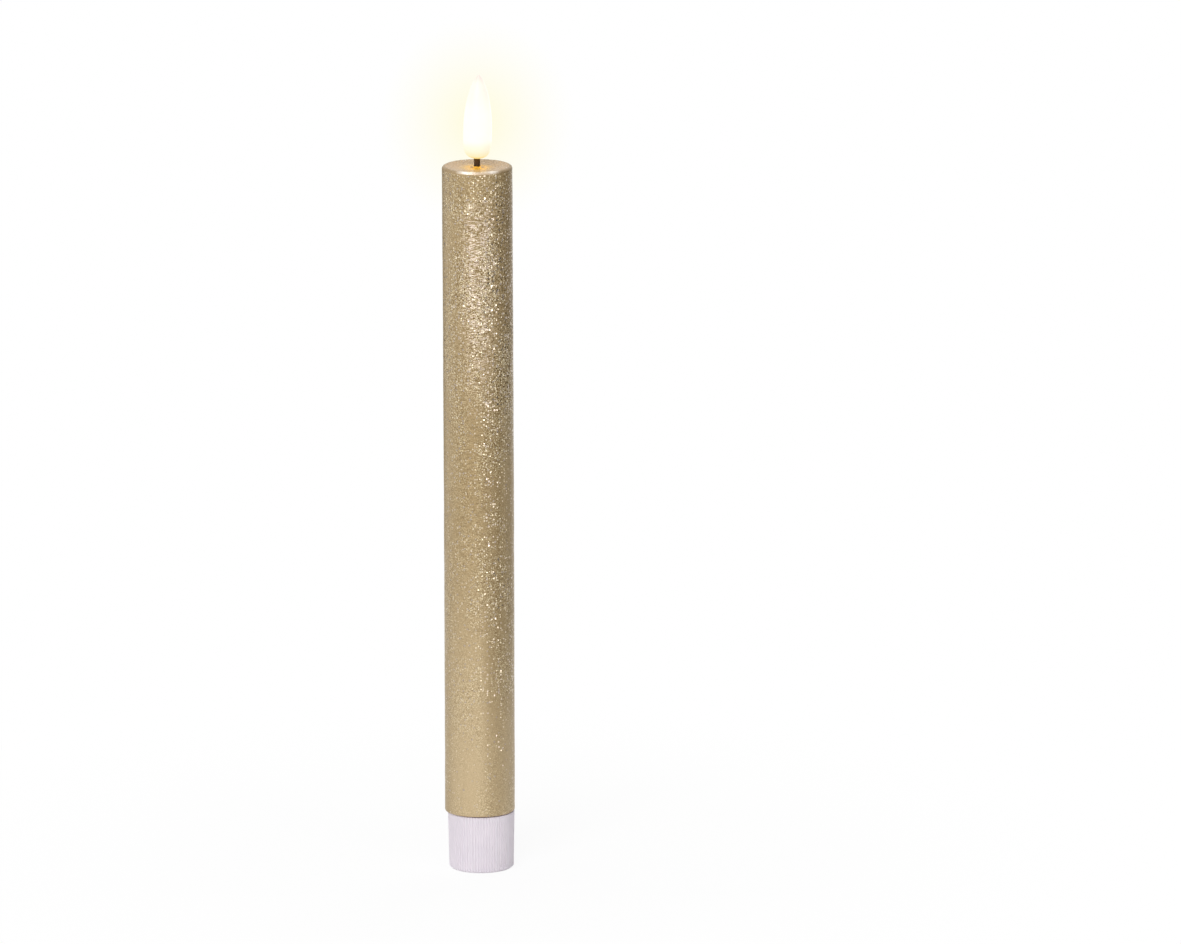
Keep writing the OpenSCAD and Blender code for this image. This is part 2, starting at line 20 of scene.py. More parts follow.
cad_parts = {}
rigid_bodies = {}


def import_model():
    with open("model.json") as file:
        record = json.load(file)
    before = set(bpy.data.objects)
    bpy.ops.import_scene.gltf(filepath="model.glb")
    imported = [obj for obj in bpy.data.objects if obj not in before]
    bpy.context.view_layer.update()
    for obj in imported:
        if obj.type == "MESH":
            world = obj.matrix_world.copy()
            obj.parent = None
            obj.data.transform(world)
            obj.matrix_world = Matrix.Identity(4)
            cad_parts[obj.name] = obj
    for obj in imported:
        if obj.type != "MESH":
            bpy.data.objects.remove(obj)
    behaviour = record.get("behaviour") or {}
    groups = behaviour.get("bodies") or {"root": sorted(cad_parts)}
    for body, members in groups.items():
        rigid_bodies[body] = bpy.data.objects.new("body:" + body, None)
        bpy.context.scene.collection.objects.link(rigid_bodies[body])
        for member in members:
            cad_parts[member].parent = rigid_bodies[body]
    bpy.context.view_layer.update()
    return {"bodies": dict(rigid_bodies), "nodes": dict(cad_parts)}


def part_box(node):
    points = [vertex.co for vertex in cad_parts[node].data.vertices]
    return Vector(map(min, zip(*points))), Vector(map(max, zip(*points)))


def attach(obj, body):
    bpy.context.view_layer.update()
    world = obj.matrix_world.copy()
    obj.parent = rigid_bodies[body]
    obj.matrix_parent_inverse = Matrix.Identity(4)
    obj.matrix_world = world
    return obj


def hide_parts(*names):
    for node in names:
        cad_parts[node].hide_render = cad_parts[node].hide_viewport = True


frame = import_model()

MM = 0.001
LOG = logging.getLogger("candle")
Point = tuple[float, float]
Place = tuple[float, float, float]
Colour = tuple[float, float, float]
Socket = bpy.types.NodeSocket
Tree = bpy.types.NodeTree
Material = bpy.types.Material
Piece = bpy.types.Object


class Body(Enum):
    """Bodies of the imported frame, on which every piece rides."""

    CAP = "cap"
    SWITCH = "switch"
    CANDLE = "candle"


class Slot(Enum):
    """Material slots of the record."""

    GOLD_WAX = "gold_wax"
    GLOWING_FLAME = "glowing_flame"
    BLACK_WICK = "black_wick"
    TINNED_STEEL = "tinned_steel"
    BLACK_PLASTIC = "black_plastic"
    CAP_PLASTIC = "cap_plastic"


class Axis(Enum):
    """Axes of the frame, numbered as in a vector."""

    X = 0
    Y = 1
    Z = 2


# ---- Node trees ------------------------


class Graph:
    """Adds and links the nodes of one shader or geometry tree."""

    def __init__(self, tree: Tree) -> None:
        """Starts on an existing tree."""
        self.tree = tree

    def node(self, kind: str, inputs: dict | None = None, **settings: Any) -> bpy.types.Node:
        """Adds a node.

        Args:
            kind: The node's type name.
            inputs: Values or sockets for its inputs, by name or index.
            settings: Attributes of the node, set before its inputs.

        Returns:
            The new node.
        """
        made = self.tree.nodes.new(kind)
        for key, value in settings.items():
            setattr(made, key, value)
        self.fill(made, inputs or {})
        return made

    def fill(self, node: bpy.types.Node, inputs: dict) -> None:
        """Links sockets to a node's inputs, or writes plain values into them.

        Args:
            node: A node of this tree.
            inputs: Values or sockets by the input's name or index.
        """
        for key, value in inputs.items():
            socket = node.inputs[key]
            if isinstance(value, Socket):
                self.tree.links.new(value, socket)
            elif socket.type == "RGBA" and len(value) == 3:
                socket.default_value = (*value, 1.0)
            else:
                socket.default_value = value

    def out(self, kind: str, inputs: dict | None = None, **settings: Any) -> Socket:
        """Adds a node and returns its first output."""
        return self.node(kind, inputs, **settings).outputs[0]

    def math(self, operation: str, *values: Any, clamp: bool = False) -> Socket:
        """Returns the result of a Math node on the values."""
        return self.out("ShaderNodeMath", dict(enumerate(values)), operation=operation, use_clamp=clamp)

    def times(self, product: Any, *factors: Any) -> Socket:
        """Returns the product of all the values."""
        return reduce(lambda a, b: self.math("MULTIPLY", a, b), factors, product)

    def plus(self, a: Any, b: Any) -> Socket:
        """Returns the sum of two values."""
        return self.math("ADD", a, b)

    def minus(self, a: Any, b: Any, clamp: bool = False) -> Socket:
        """Returns the first value less the second, kept between 0 and 1 if it is clamped."""
        return self.math("SUBTRACT", a, b, clamp=clamp)

    def over(self, a: Any, b: Any, clamp: bool = False) -> Socket:
        """Returns the first value divided by the second, kept between 0 and 1 if it is clamped."""
        return self.math("DIVIDE", a, b, clamp=clamp)

    def vector(self, operation: str, *values: Any) -> Socket:
        """Returns the vector that a Vector Math node makes of the values."""
        return self.out("ShaderNodeVectorMath", dict(enumerate(values)), operation=operation)

    def scaled(self, vector: Any, factor: Any) -> Socket:
        """Returns a vector times a number."""
        return self.out("ShaderNodeVectorMath", {0: vector, "Scale": factor}, operation="SCALE")

    def length(self, vector: Any) -> Socket:
        """Returns a vector's length."""
        return self.node("ShaderNodeVectorMath", {0: vector}, operation="LENGTH").outputs["Value"]

    def split(self, vector: Any) -> Sequence[Socket]:
        """Returns a vector's X, Y and Z."""
        return self.node("ShaderNodeSeparateXYZ", {0: vector}).outputs[:3]

    def combined(self, x: Any = 0.0, y: Any = 0.0, z: Any = 0.0) -> Socket:
        """Returns the vector of an X, a Y and a Z."""
        return self.out("ShaderNodeCombineXYZ", {0: x, 1: y, 2: z})

    def from_axis(self, x: Any, y: Any) -> Socket:
        """Returns the distance from the Z axis of a place given by its X and Y."""
        return self.math("SQRT", self.plus(self.math("POWER", x, 2.0), self.math("POWER", y, 2.0)))

    def ease(self, value: Any, low: Any, high: Any, first: Any = 0.0, last: Any = 1.0) -> Socket:
        """Returns a smooth step from first to last as the value goes from low to high."""
        ends = {"Value": value, "From Min": low, "From Max": high, "To Min": first, "To Max": last}
        return self.out("ShaderNodeMapRange", ends, interpolation_type="SMOOTHSTEP", clamp=True)

    def mix(self, factor: Any, a: Any, b: Any) -> Socket:
        """Returns a mix of two colours."""
        return self.node("ShaderNodeMix", {0: factor, 6: a, 7: b}, data_type="RGBA").outputs[2]

    def blend(self, factor: Any, a: Any, b: Any) -> Socket:
        """Returns a mix of two numbers."""
        return self.out("ShaderNodeMix", {0: factor, 2: a, 3: b}, data_type="FLOAT")

    def noise(self, vector: Any, scale: Any, detail: Any = 2.0, roughness: float = 0.5) -> Socket:
        """Returns the grey value of a Noise node."""
        inputs = {"Vector": vector, "Scale": scale, "Detail": detail, "Roughness": roughness}
        return self.out("ShaderNodeTexNoise", inputs)

    def coated(self, paint: Any, *coats: tuple[Any, Any]) -> Socket:
        """Returns a paint with coats laid over it in order, each a share and a colour."""
        return reduce(lambda under, coat: self.mix(coat[0], under, coat[1]), coats, paint)


def spaced(values: dict[str, Any]) -> dict[str, Any]:
    """Returns values by name with the underscores of their names turned into spaces."""
    return {name.replace("_", " "): value for name, value in values.items()}


class Group(Graph):
    """A shader node group with named inputs, whose default values give their sockets' types."""

    KIND = "ShaderNodeTree"
    FIRST = "Vector"
    SOCKETS = {
        float: "NodeSocketFloat", int: "NodeSocketInt", tuple: "NodeSocketVector",
        "VALUE": "NodeSocketFloat", "VECTOR": "NodeSocketVector", "GEOMETRY": "NodeSocketGeometry",
    }

    def __init__(self, name: str, **inputs: Any) -> None:
        """Starts the group.

        Args:
            name: The group's name.
            inputs: Default values of all inputs but the first; underscores stand for spaces.
        """
        super().__init__(bpy.data.node_groups.new(name, self.KIND))
        sockets = self.tree.interface
        sockets.new_socket(self.FIRST, in_out="INPUT", socket_type=f"NodeSocket{self.FIRST}")
        for key, default in spaced(inputs).items():
            item = sockets.new_socket(key, in_out="INPUT", socket_type=self.SOCKETS[type(default)])
            item.default_value = default
        self.given = self.node("NodeGroupInput").outputs

    def finish(self, **outputs: Socket) -> Tree:
        """Ends the group with named outputs.

        Args:
            outputs: What each output gives.

        Returns:
            The group's tree.
        """
        for key, value in outputs.items():
            self.tree.interface.new_socket(key, in_out="OUTPUT", socket_type=self.SOCKETS[value.type])
        self.node("NodeGroupOutput", outputs)
        return self.tree


class Shape(Group):
    """A geometry node group, which works on the mesh of the piece that it is put on."""

    KIND = "GeometryNodeTree"
    FIRST = "Geometry"

    def moved(self, geometry: Socket, **moves: Socket) -> Socket:
        """Returns a geometry whose points have moved by an Offset or to a Position."""
        return self.out("GeometryNodeSetPosition", {"Geometry": geometry, **moves})

    def copied(self, shape: Socket, **places: Any) -> Socket:
        """Returns copies of a shape on Points, with a Rotation or a Scale."""
        return self.out("GeometryNodeInstanceOnPoints", {"Instance": shape, **places})

    def ring(self, sides: int, radius: Any) -> Socket:
        """Returns a round curve, the profile of a wire."""
        return self.out("GeometryNodeCurvePrimitiveCircle", {"Resolution": sides, "Radius": radius})

    def wire(self, path: Socket, profile: Socket) -> Socket:
        """Returns a wire of a profile along a path, capped at both ends."""
        inputs = {"Curve": path, "Profile Curve": profile, "Fill Caps": True}
        return self.out("GeometryNodeCurveToMesh", inputs)

    def joined(self, *parts: Socket) -> Socket:
        """Joins geometries.

        Args:
            parts: The geometries.

        Returns:
            All of them in one.
        """
        together = self.node("GeometryNodeJoinGeometry")
        for part in parts:
            self.fill(together, {0: part})
        return together.outputs[0]

    def polar(self) -> tuple[Socket, Socket, Socket, Sequence[Socket]]:
        """Returns each point's place, its way out from the Z axis, its radius and its X, Y and Z."""
        here = self.out("GeometryNodeInputPosition")
        x, y, z = self.split(here)
        flat = self.combined(x, y)
        return here, self.vector("NORMALIZE", flat), self.length(flat), (x, y, z)

    def finish_mesh(self, geometry: Socket, material: Material) -> Tree:
        """Ends the group: instances made real, smooth shading and one material.

        Args:
            geometry: The geometry to give out.
            material: The material of its whole surface.

        Returns:
            The group's tree.
        """
        real = self.out("GeometryNodeRealizeInstances", {0: geometry})
        shaded = self.out("GeometryNodeSetShadeSmooth", {0: real})
        return self.finish(Geometry=self.out("GeometryNodeSetMaterial", {0: shaded, "Material": material}))


@cache
def grain_group() -> Tree:
    """Returns the group of fine irregular grain, stretched along the axes: height and hollows."""
    graph = Group("Fine grain", Size=0.5 * MM, Stretch=(1.0, 1.0, 1.0), Detail=2.0)
    stretched = graph.vector("MULTIPLY", graph.given["Vector"], graph.given["Stretch"])
    per_size = graph.over(1.0, graph.given["Size"])
    height = graph.noise(stretched, per_size, graph.given["Detail"], 0.55)
    return graph.finish(Height=height, Hollows=graph.ease(height, 0.5, 0.32))


@cache
def flake_group() -> Tree:
    """Returns the group of round flakes strewn at random, of which a share shows, and their tones."""
    graph = Group("Flakes", Size=0.5 * MM, Share=0.5, Tilt=0.4)
    per_size = graph.over(1.0, graph.given["Size"])
    cells = graph.node("ShaderNodeTexVoronoi", {"Vector": graph.given["Vector"], "Scale": per_size}).outputs
    pick, tone, _ = graph.split(cells["Color"])
    within = graph.ease(graph.minus(cells["Distance"], graph.times(tone, 0.22)), 0.32, 0.2)
    mask = graph.times(within, graph.math("LESS_THAN", pick, graph.given["Share"]))
    centred = graph.vector("SUBTRACT", cells["Color"], (0.5, 0.5, 0.5))
    tilt = graph.times(graph.given["Tilt"], graph.times(mask, 2.0))
    surface = graph.node("ShaderNodeNewGeometry").outputs["Normal"]
    normal = graph.vector("NORMALIZE", graph.vector("ADD", surface, graph.scaled(centred, tilt)))
    return graph.finish(Mask=mask, Tone=tone, Normal=normal)


@cache
def scuff_group() -> Tree:
    """Returns the group of faint handling marks: short scratches in one direction, dull patches."""
    graph = Group("Scuffs", Length=4 * MM, Amount=0.5)
    per_length = graph.over(1.0, graph.given["Length"])
    long_way = graph.vector("MULTIPLY", graph.given["Vector"], (1.0, 1.0, 14.0))
    lines = graph.ease(graph.noise(long_way, per_length, 3.0, 0.7), 0.62, 0.74)
    patches = graph.noise(graph.given["Vector"], per_length, 1.0)
    amount = graph.given["Amount"]
    return graph.finish(Scratches=graph.times(lines, amount), Patches=graph.times(patches, amount))


# ---- Meshes ------------------------

# A radius up to this lies on the axis.
ON_AXIS = 1e-7


def around(radius: float, turn: float, height: float) -> Place:
    """Returns the place at a distance from the Z axis, a turn round it and a height."""
    return radius * math.cos(turn), radius * math.sin(turn), height


def arc(centre: Point, radius: float, start: float, end: float, steps: int) -> list[Point]:
    """Returns the points of a circle's arc from one angle to another, both in degrees."""
    turns = [math.radians(start + (end - start) * i / steps) for i in range(steps + 1)]
    return [(centre[0] + radius * math.cos(a), centre[1] + radius * math.sin(a)) for a in turns]


def divided(start: Point, end: Point, steps: int) -> list[Point]:
    """Returns the points strictly between two ends of a straight line cut into equal steps."""
    shares = [i / steps for i in range(1, steps)]
    return [(start[0] + (end[0] - start[0]) * s, start[1] + (end[1] - start[1]) * s) for s in shares]


def add_object(name: str, data: bpy.types.ID) -> Piece:
    """Puts something new in the scene, at the origin.

    Args:
        name: The object's name.
        data: Its mesh, text, lamp or camera.

    Returns:
        The object.
    """
    made = bpy.data.objects.new(name, data)
    bpy.context.scene.collection.objects.link(made)
    return made


def from_faces(name: str, vertices: Sequence[Sequence[float]], faces: Sequence[Sequence[int]]) -> Piece:
    """Makes a mesh object of corners and faces.

    Args:
        name: The object's name.
        vertices: The corners.
        faces: Each face as the numbers of its corners.

    Returns:
        The object.
    """
    mesh = bpy.data.meshes.new(name)
    mesh.from_pydata(vertices, [], faces)
    return add_object(name, mesh)


def from_shape(name: str, shape: bmesh.types.BMesh) -> Piece:
    """Makes a mesh object of an edited shape.

    Args:
        name: The object's name.
        shape: The shape, which is freed.

    Returns:
        The object.
    """
    mesh = bpy.data.meshes.new(name)
    shape.to_mesh(mesh)
    shape.free()
    return add_object(name, mesh)


def lathe(name: str, outline: Sequence[Point], segments: int) -> Piece:
    """Turns an outline round the Z axis.

    Args:
        name: The object's name.
        outline: Points of (radius, height), upwards on the outside. It is closed between its two
            ends unless both lie on the axis.
        segments: Number of columns round the axis.

    Returns:
        The closed mesh object.
    """
    vertices: list[Place] = []
    rings: list[list[int]] = []
    for radius, height in outline:
        count = segments if radius > ON_AXIS else 1
        rings.append(list(range(len(vertices), len(vertices) + count)))
        vertices += [around(radius, math.tau * k / segments, height) for k in range(count)]
    pairs = list(zip(rings, rings[1:]))
    if len(rings[0]) > 1 or len(rings[-1]) > 1:
        pairs.append((rings[-1], rings[0]))
    faces: list[tuple[int, ...]] = []
    for low, high in pairs:
        for k in range(segments):
            n = (k + 1) % segments
            corners = (low[k % len(low)], low[n % len(low)], high[n % len(high)], high[k % len(high)])
            faces.append(tuple(dict.fromkeys(corners)))
    turned = from_faces(name, vertices, faces)
    turned.data.validate()
    return turned


def rounded_block(name: str, low: Sequence[float], high: Sequence[float], radius: float) -> Piece:
    """Makes a block with rounded edges.

    Args:
        name: The object's name.
        low: Its lowest corner.
        high: Its highest corner.
        radius: Radius of its edges.

    Returns:
        The mesh object.
    """
    shape = bmesh.new()
    bmesh.ops.create_cube(shape, size=1.0)
    for corner in shape.verts:
        corner.co = Vector(low[i] + (corner.co[i] + 0.5) * (high[i] - low[i]) for i in range(3))
    bmesh.ops.bevel(shape, geom=shape.edges[:], offset=radius, segments=3, profile=0.5, affect="EDGES")
    return from_shape(name, shape)


def joined(name: str, pieces: Sequence[Piece]) -> Piece:
    """Joins mesh objects.

    Args:
        name: Name of the joined object.
        pieces: The objects, which are removed.

    Returns:
        The new object.
    """
    shape = bmesh.new()
    for piece in pieces:
        shape.from_mesh(piece.data)
        bpy.data.objects.remove(piece)
    return from_shape(name, shape)


def evaluated_mesh(piece: Piece) -> bpy.types.Mesh:
    """Returns a plain mesh of a piece as its modifiers leave it."""
    depsgraph = bpy.context.evaluated_depsgraph_get()
    return bpy.data.meshes.new_from_object(piece.evaluated_get(depsgraph), depsgraph=depsgraph)


def settled(piece: Piece) -> Piece:
    """Makes a piece's evaluated shape its plain mesh and removes its modifiers.

    Args:
        piece: The piece.

    Returns:
        The same piece.
    """
    mesh = evaluated_mesh(piece)
    piece.modifiers.clear()
    piece.data = mesh
    return piece


def cut_out(piece: Piece, cutters: Sequence[Piece]) -> None:
    """Cuts shapes out of a piece.

    Args:
        piece: The mesh object to cut.
        cutters: The objects to cut with, which are removed.
    """
    for cutter in cutters:
        cut = piece.modifiers.new("Cut", "BOOLEAN")
        cut.operation = "DIFFERENCE"
        cut.solver = "EXACT"
        cut.object = cutter
    settled(piece)
    for cutter in cutters:
        bpy.data.objects.remove(cutter)


def smooth(piece: Piece, sharp_degrees: float) -> None:
    """Shades a piece smoothly, with edges above an angle left sharp."""
    piece.data.shade_smooth()
    piece.data.set_sharp_from_angle(angle=math.radians(sharp_degrees))


def grown(
    piece: Piece, name: str, build: Callable[[Shape, Any], Socket], material: Material, **sizes: Any
) -> Piece:
    """Runs a new geometry tree on a piece and keeps the result as its plain mesh.

    Args:
        piece: The object that the tree starts from.
        name: The tree's name.
        build: Makes the tree's geometry from its graph and the sockets of its inputs by name.
        material: The material of the result.
        sizes: Values for the tree's named inputs; underscores stand for spaces.

    Returns:
        The piece, with no modifier left on it.
    """
    graph = Shape(name, **sizes)
    tree = graph.finish_mesh(build(graph, graph.given), material)
    modifier = piece.modifiers.new(name, "NODES")
    modifier.node_group = tree
    values = spaced(sizes)
    for item in tree.interface.items_tree:
        if item.in_out == "INPUT" and item.name in values:
            modifier[item.identifier] = values[item.name]
    piece.update_tag()
    return settled(piece)


def place(piece: Piece, body: Body, slot: Slot, *nodes: str) -> None:
    """Gives a new piece its part in the frame.

    Args:
        piece: The piece.
        body: The body that it rides on.
        slot: Its material slot; not used.
        nodes: The frame's nodes that it stands for, which are hidden.
    """
    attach(piece, body.value)
    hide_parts(*nodes)
    LOG.info("%-18s %6d faces on %s", piece.name, len(piece.data.polygons), body.value)


def dress(material: Material, *pieces: Piece | str) -> None:
    """Covers pieces with one material.

    Args:
        material: The material.
        pieces: New pieces, or nodes of the frame by name.
    """
    for piece in pieces:
        shown = frame["nodes"][piece] if isinstance(piece, str) else piece
        shown.data.materials.clear()
        shown.data.materials.append(material)
        if isinstance(piece, str):
            LOG.info("%-18s dressed in %s", piece, material.name)


# ---- Finishes ------------------------


class Surface(Graph):
    """The node tree of a new material."""

    def __init__(self, name: str) -> None:
        """Starts the material and reads the surface's place in the object's own space.

        Args:
            name: The material's name.
        """
        self.material = bpy.data.materials.new(name)
        self.material.use_nodes = True
        super().__init__(self.material.node_tree)
        self.where = self.node("ShaderNodeTexCoord").outputs["Object"]

    def group(self, tree: Tree, **inputs: Any) -> Any:
        """Places a shader node group, by default on the surface's place, and returns its outputs."""
        return self.node("ShaderNodeGroup", {"Vector": self.where, **inputs}, node_tree=tree).outputs

    def bump(self, height: Any, depth: float, strength: float, **normal: Socket) -> Socket:
        """Returns the normal that a height field gives, on top of another Normal if it is given."""
        inputs = {"Strength": strength, "Distance": depth, "Height": height, **normal}
        return self.out("ShaderNodeBump", inputs)

    def finish(self, **inputs: Any) -> Material:
        """Feeds the Principled shader; underscores in the input names stand for spaces."""
        self.fill(self.tree.nodes["Principled BSDF"], spaced(inputs))
        return self.material

    def finish_one_sided(self, front: Socket) -> Material:
        """Ends the material with another shader, which is clear when it is seen from behind.

        Args:
            front: The shader of the front.

        Returns:
            The material.
        """
        self.tree.nodes.remove(self.tree.nodes["Principled BSDF"])
        behind = self.node("ShaderNodeNewGeometry").outputs["Backfacing"]
        clear = self.out("ShaderNodeBsdfTransparent")
        both = self.out("ShaderNodeMixShader", {0: behind, 1: front, 2: clear})
        self.fill(self.tree.nodes["Material Output"], {"Surface": both})
        return self.material


@dataclass(frozen=True)
class GoldWax:
    """Gold pearl paint with glitter on crinkled wax; calmer near the foot and on the top face."""

    # light and the deep tone are lit and shaded copies of the gold, laid as painted light and painted shade.
    light: Colour = (0.42, 0.296, 0.14)
    shaded_gold: Colour = (0.27, 0.184, 0.079)
    # The calm tone: smoother paint near the foot, also laid as painted light on the far sides of the shaft.
    calm_and_lit: Colour = (0.545, 0.415, 0.24)
    crown: Colour = (0.46, 0.305, 0.155)
    fleck: Colour = (0.15, 0.088, 0.022)
    # The spark tones: the glitter's own pale colour, brightened as painted glints.
    spark: Colour = (1.0, 0.89, 0.60)
    rose_glint: Colour = (1.0, 0.84, 0.74)
    # Painted shadow of the seam gap along the wax's foot.
    seam_shadow: Colour = (0.36, 0.21, 0.13)
    # Painted glow of the flame round the wick.
    pool: Colour = (0.58, 0.38, 0.06)
    # Painted highlight on the front of the rim.
    painted_rim_highlight: Colour = (0.95, 0.89, 0.80)
    spark_size: float = 0.7 * MM
    spark_tilt: float = 0.75
    fleck_size: float = 0.7 * MM
    fleck_tilt: float = 0.2
    fleck_shift: Place = (10 * MM, 20 * MM, 30 * MM)
    flake_share: float = 0.95
    dust_size: float = 0.32 * MM
    crinkle_size: float = 1.3 * MM
    crinkle_stretch: Place = (1.0, 1.0, 5.0)
    low: float = 18.5 * MM
    high: float = 225.7 * MM
    radius: float = 11.0 * MM

    def make(self) -> Material:
        """Returns the material."""
        return WaxPaint(self).made()


class WaxPaint(Surface):
    """The gold wax's node tree."""

    def __init__(self, gold: GoldWax) -> None:
        """Starts the tree: zones of the wax, each from 0 outside to 1 inside, and its grains.

        Args:
            gold: The finish.
        """
        super().__init__("Gold wax")
        self.gold = gold
        self.x, y, self.z = self.split(self.where)
        self.across = self.from_axis(self.x, y)
        self.top = self.down(1.2, 0.5)
        near_edge = self.ease(self.across, gold.radius - 1.3 * MM, gold.radius - 0.8 * MM)
        self.rim = self.times(self.top, near_edge)
        self.front_of_rim = self.times(self.side(8, 4), self.side(-7.5, -3.5))
        # A band right of the axis where painted shade is laid.
        right = self.times(self.side(-0.5, 4), self.side(8.5, 5.5))
        # Share of the calm tone: it fades upwards and is held back right of the axis and at the left edge as
        # painted shade.
        self.calm_and_lit = self.times(
            self.up(115, 10), self.blend(right, 1.0, 0.62), self.side(6, 8, 1.0, 0.85),
            self.side(-11, -7.5, 0.45, 1.0),
        )
        self.lower_half = self.up(165, 130)
        # Painted shade on the right of the shaft's lower half.
        self.shaded = self.times(right, self.lower_half, self.up(15, 60, 0.1, 0.5))
        tall = self.vector("MULTIPLY", self.where, (1, 1, 0.4))
        self.patches = self.ease(self.noise(tall, 90.0), 0.36, 0.62)
        self.busy = self.times(
            self.plus(self.up(4, 56, 0.15, 0.52), self.up(105, 175, 0.0, 0.48)),
            self.blend(self.patches, 0.6, 1.0), self.side(-10, 3, 0.55, 1.0),
            self.down(14, 2, 1.0, 0.6), self.blend(self.top, 1.0, 0.3),
        )
        # The ruffled band: deeper crinkles, and painted sheen lines on their crests.
        self.ruffled_sheen = self.times(
            self.down(85, 35), self.down(6, 18), self.side(-7, -1), self.side(6, 1, 0.1, 1.0)
        )
        self.crinkle = self.group(grain_group(), Size=gold.crinkle_size, Stretch=gold.crinkle_stretch)
        self.sparks = self.flakes(self.where, gold.spark_size, gold.spark_tilt)
        self.flecks = self.flakes(
            self.vector("ADD", self.where, gold.fleck_shift), gold.fleck_size, gold.fleck_tilt
        )
        # Share of the pale flakes: real glitter, painted bright as glints.
        self.spark_glint_share = self.times(
            self.sparks["Mask"], self.blend(self.sparks["Tone"], 0.8, 1.0), self.blend(self.busy, 0.5, 1.15)
        )
        self.fleck_share = self.times(
            self.flecks["Mask"], self.blend(self.flecks["Tone"], 0.7, 1.0),
            self.ease(self.busy, 0.3, 0.8, 0.15, 0.95),
        )

    def up(self, start: float, end: float, *values: float) -> Socket:
        """Returns a step, from 0 to 1 or between two values, from one millimetre of height to another."""
        return self.ease(self.z, self.gold.low + start * MM, self.gold.low + end * MM, *values)

    def down(self, start: float, end: float, *values: float) -> Socket:
        """Returns a step like up's, in millimetres below the top."""
        return self.ease(self.z, self.gold.high - start * MM, self.gold.high - end * MM, *values)

    def side(self, start: float, end: float, *values: float) -> Socket:
        """Returns a step like up's, in millimetres along X."""
        return self.ease(self.x, start * MM, end * MM, *values)

    def out_to(self, start: float, end: float, *values: float) -> Socket:
        """Returns a step like up's, in millimetres from the axis."""
        return self.ease(self.across, start * MM, end * MM, *values)

    def flakes(self, where: Socket, size: float, tilt: float) -> Any:
        """Returns the outputs of flakes that are thickest in the busy zone."""
        share = self.times(self.busy, self.gold.flake_share)
        return self.group(flake_group(), Vector=where, Size=size, Share=share, Tilt=tilt)

    def ground(self) -> Socket:
        """Returns the paint under the glitter, with painted light and shade on the crinkle and across the
        shaft.
        """
        gold = self.gold
        # Painted light on the far left and far right of the shaft, where the calm tone is not laid already.
        far_side_light = self.times(self.side(5.5, 8, 0.0, 0.5), self.lower_half)
        painted_side_light = self.minus(self.plus(self.side(-4, -11, 0.0, 0.4), far_side_light), self.calm_and_lit, clamp=True)
        return self.coated(
            gold.shaded_gold,
            # Painted light on the crinkle's crests, painted shade in its hollows.
            (self.ease(self.crinkle["Height"], 0.3, 0.64), gold.light),
            (self.calm_and_lit, gold.calm_and_lit),
            (painted_side_light, gold.calm_and_lit),
            # Painted shade on the right of the shaft.
            (self.shaded, gold.shaded_gold),
            (self.times(self.top, 0.85), gold.crown),
        )

    def glittered(self, paint: Socket) -> Socket:
        """Strews painted sheen lines, flakes and dust, the flakes and dust partly painted glints.

        Args:
            paint: The paint under them.

        Returns:
            The paint with them.
        """
        gold = self.gold
        # Painted sheen on the crinkle's crests in the ruffled band.
        sheen_lines = self.times(self.ease(self.crinkle["Height"], 0.52, 0.6), self.ruffled_sheen)
        dust = self.group(grain_group(), Size=gold.dust_size, Detail=1.0)
        grit = self.times(self.blend(self.busy, 0.35, 0.9), self.blend(self.patches, 0.3, 1.0))
        return self.coated(
            paint,
            (self.fleck_share, gold.fleck),
            (self.times(sheen_lines, 0.75), gold.rose_glint),
            # Flakes and dust grain painted pale: real glitter, brightened as painted glints.
            (self.spark_glint_share, self.mix(self.sparks["Tone"], gold.spark, gold.rose_glint)),
            (self.times(self.ease(dust["Height"], 0.54, 0.68), grit), gold.spark),
            (self.times(dust["Hollows"], grit), gold.fleck),
        )

    def trimmed(self, paint: Socket) -> Socket:
        """Paints the flame's glow and a dark ring round the wick, the rim's shade and highlight, and the
        seam's shadow.

        Args:
            paint: The paint of all the rest.

        Returns:
            The whole paint.
        """
        gold = self.gold
        # Painted glow of the flame on the top, round the wick.
        pool = self.times(self.top, self.out_to(6.5, 2.2, 0.0, 0.8))
        # A broken dark ring round the wick's foot.
        ring_breaks = self.ease(self.noise(self.where, 420.0, 1.0), 0.44, 0.56, 0.0, 0.75)
        dark_ring = self.times(self.out_to(1.2, 1.6), self.out_to(2.5, 1.9), ring_breaks)
        # Painted highlight along the front of the rim.
        lip = self.times(
            self.rim, self.down(0.8, 0.5), self.ease(self.noise(self.where, 130.0), 0.35, 0.6, 0.2, 1.0),
            self.blend(self.front_of_rim, 0.1, 1.0),
        )
        # Painted shadow of the seam gap, broken by noise.
        seam_breaks = self.ease(self.noise(self.where, 240.0, 1.0), 0.35, 0.6, 0.3, 1.0)
        return self.coated(
            paint,
            (pool, gold.pool),
            (self.times(dark_ring, self.top), gold.fleck),
            # Painted shade on the rim's sides.
            (self.times(self.rim, self.blend(self.front_of_rim, 0.65, 0.0)), gold.shaded_gold),
            (lip, gold.painted_rim_highlight),
            (self.times(self.up(0.25, 0.04), seam_breaks), gold.seam_shadow),
        )

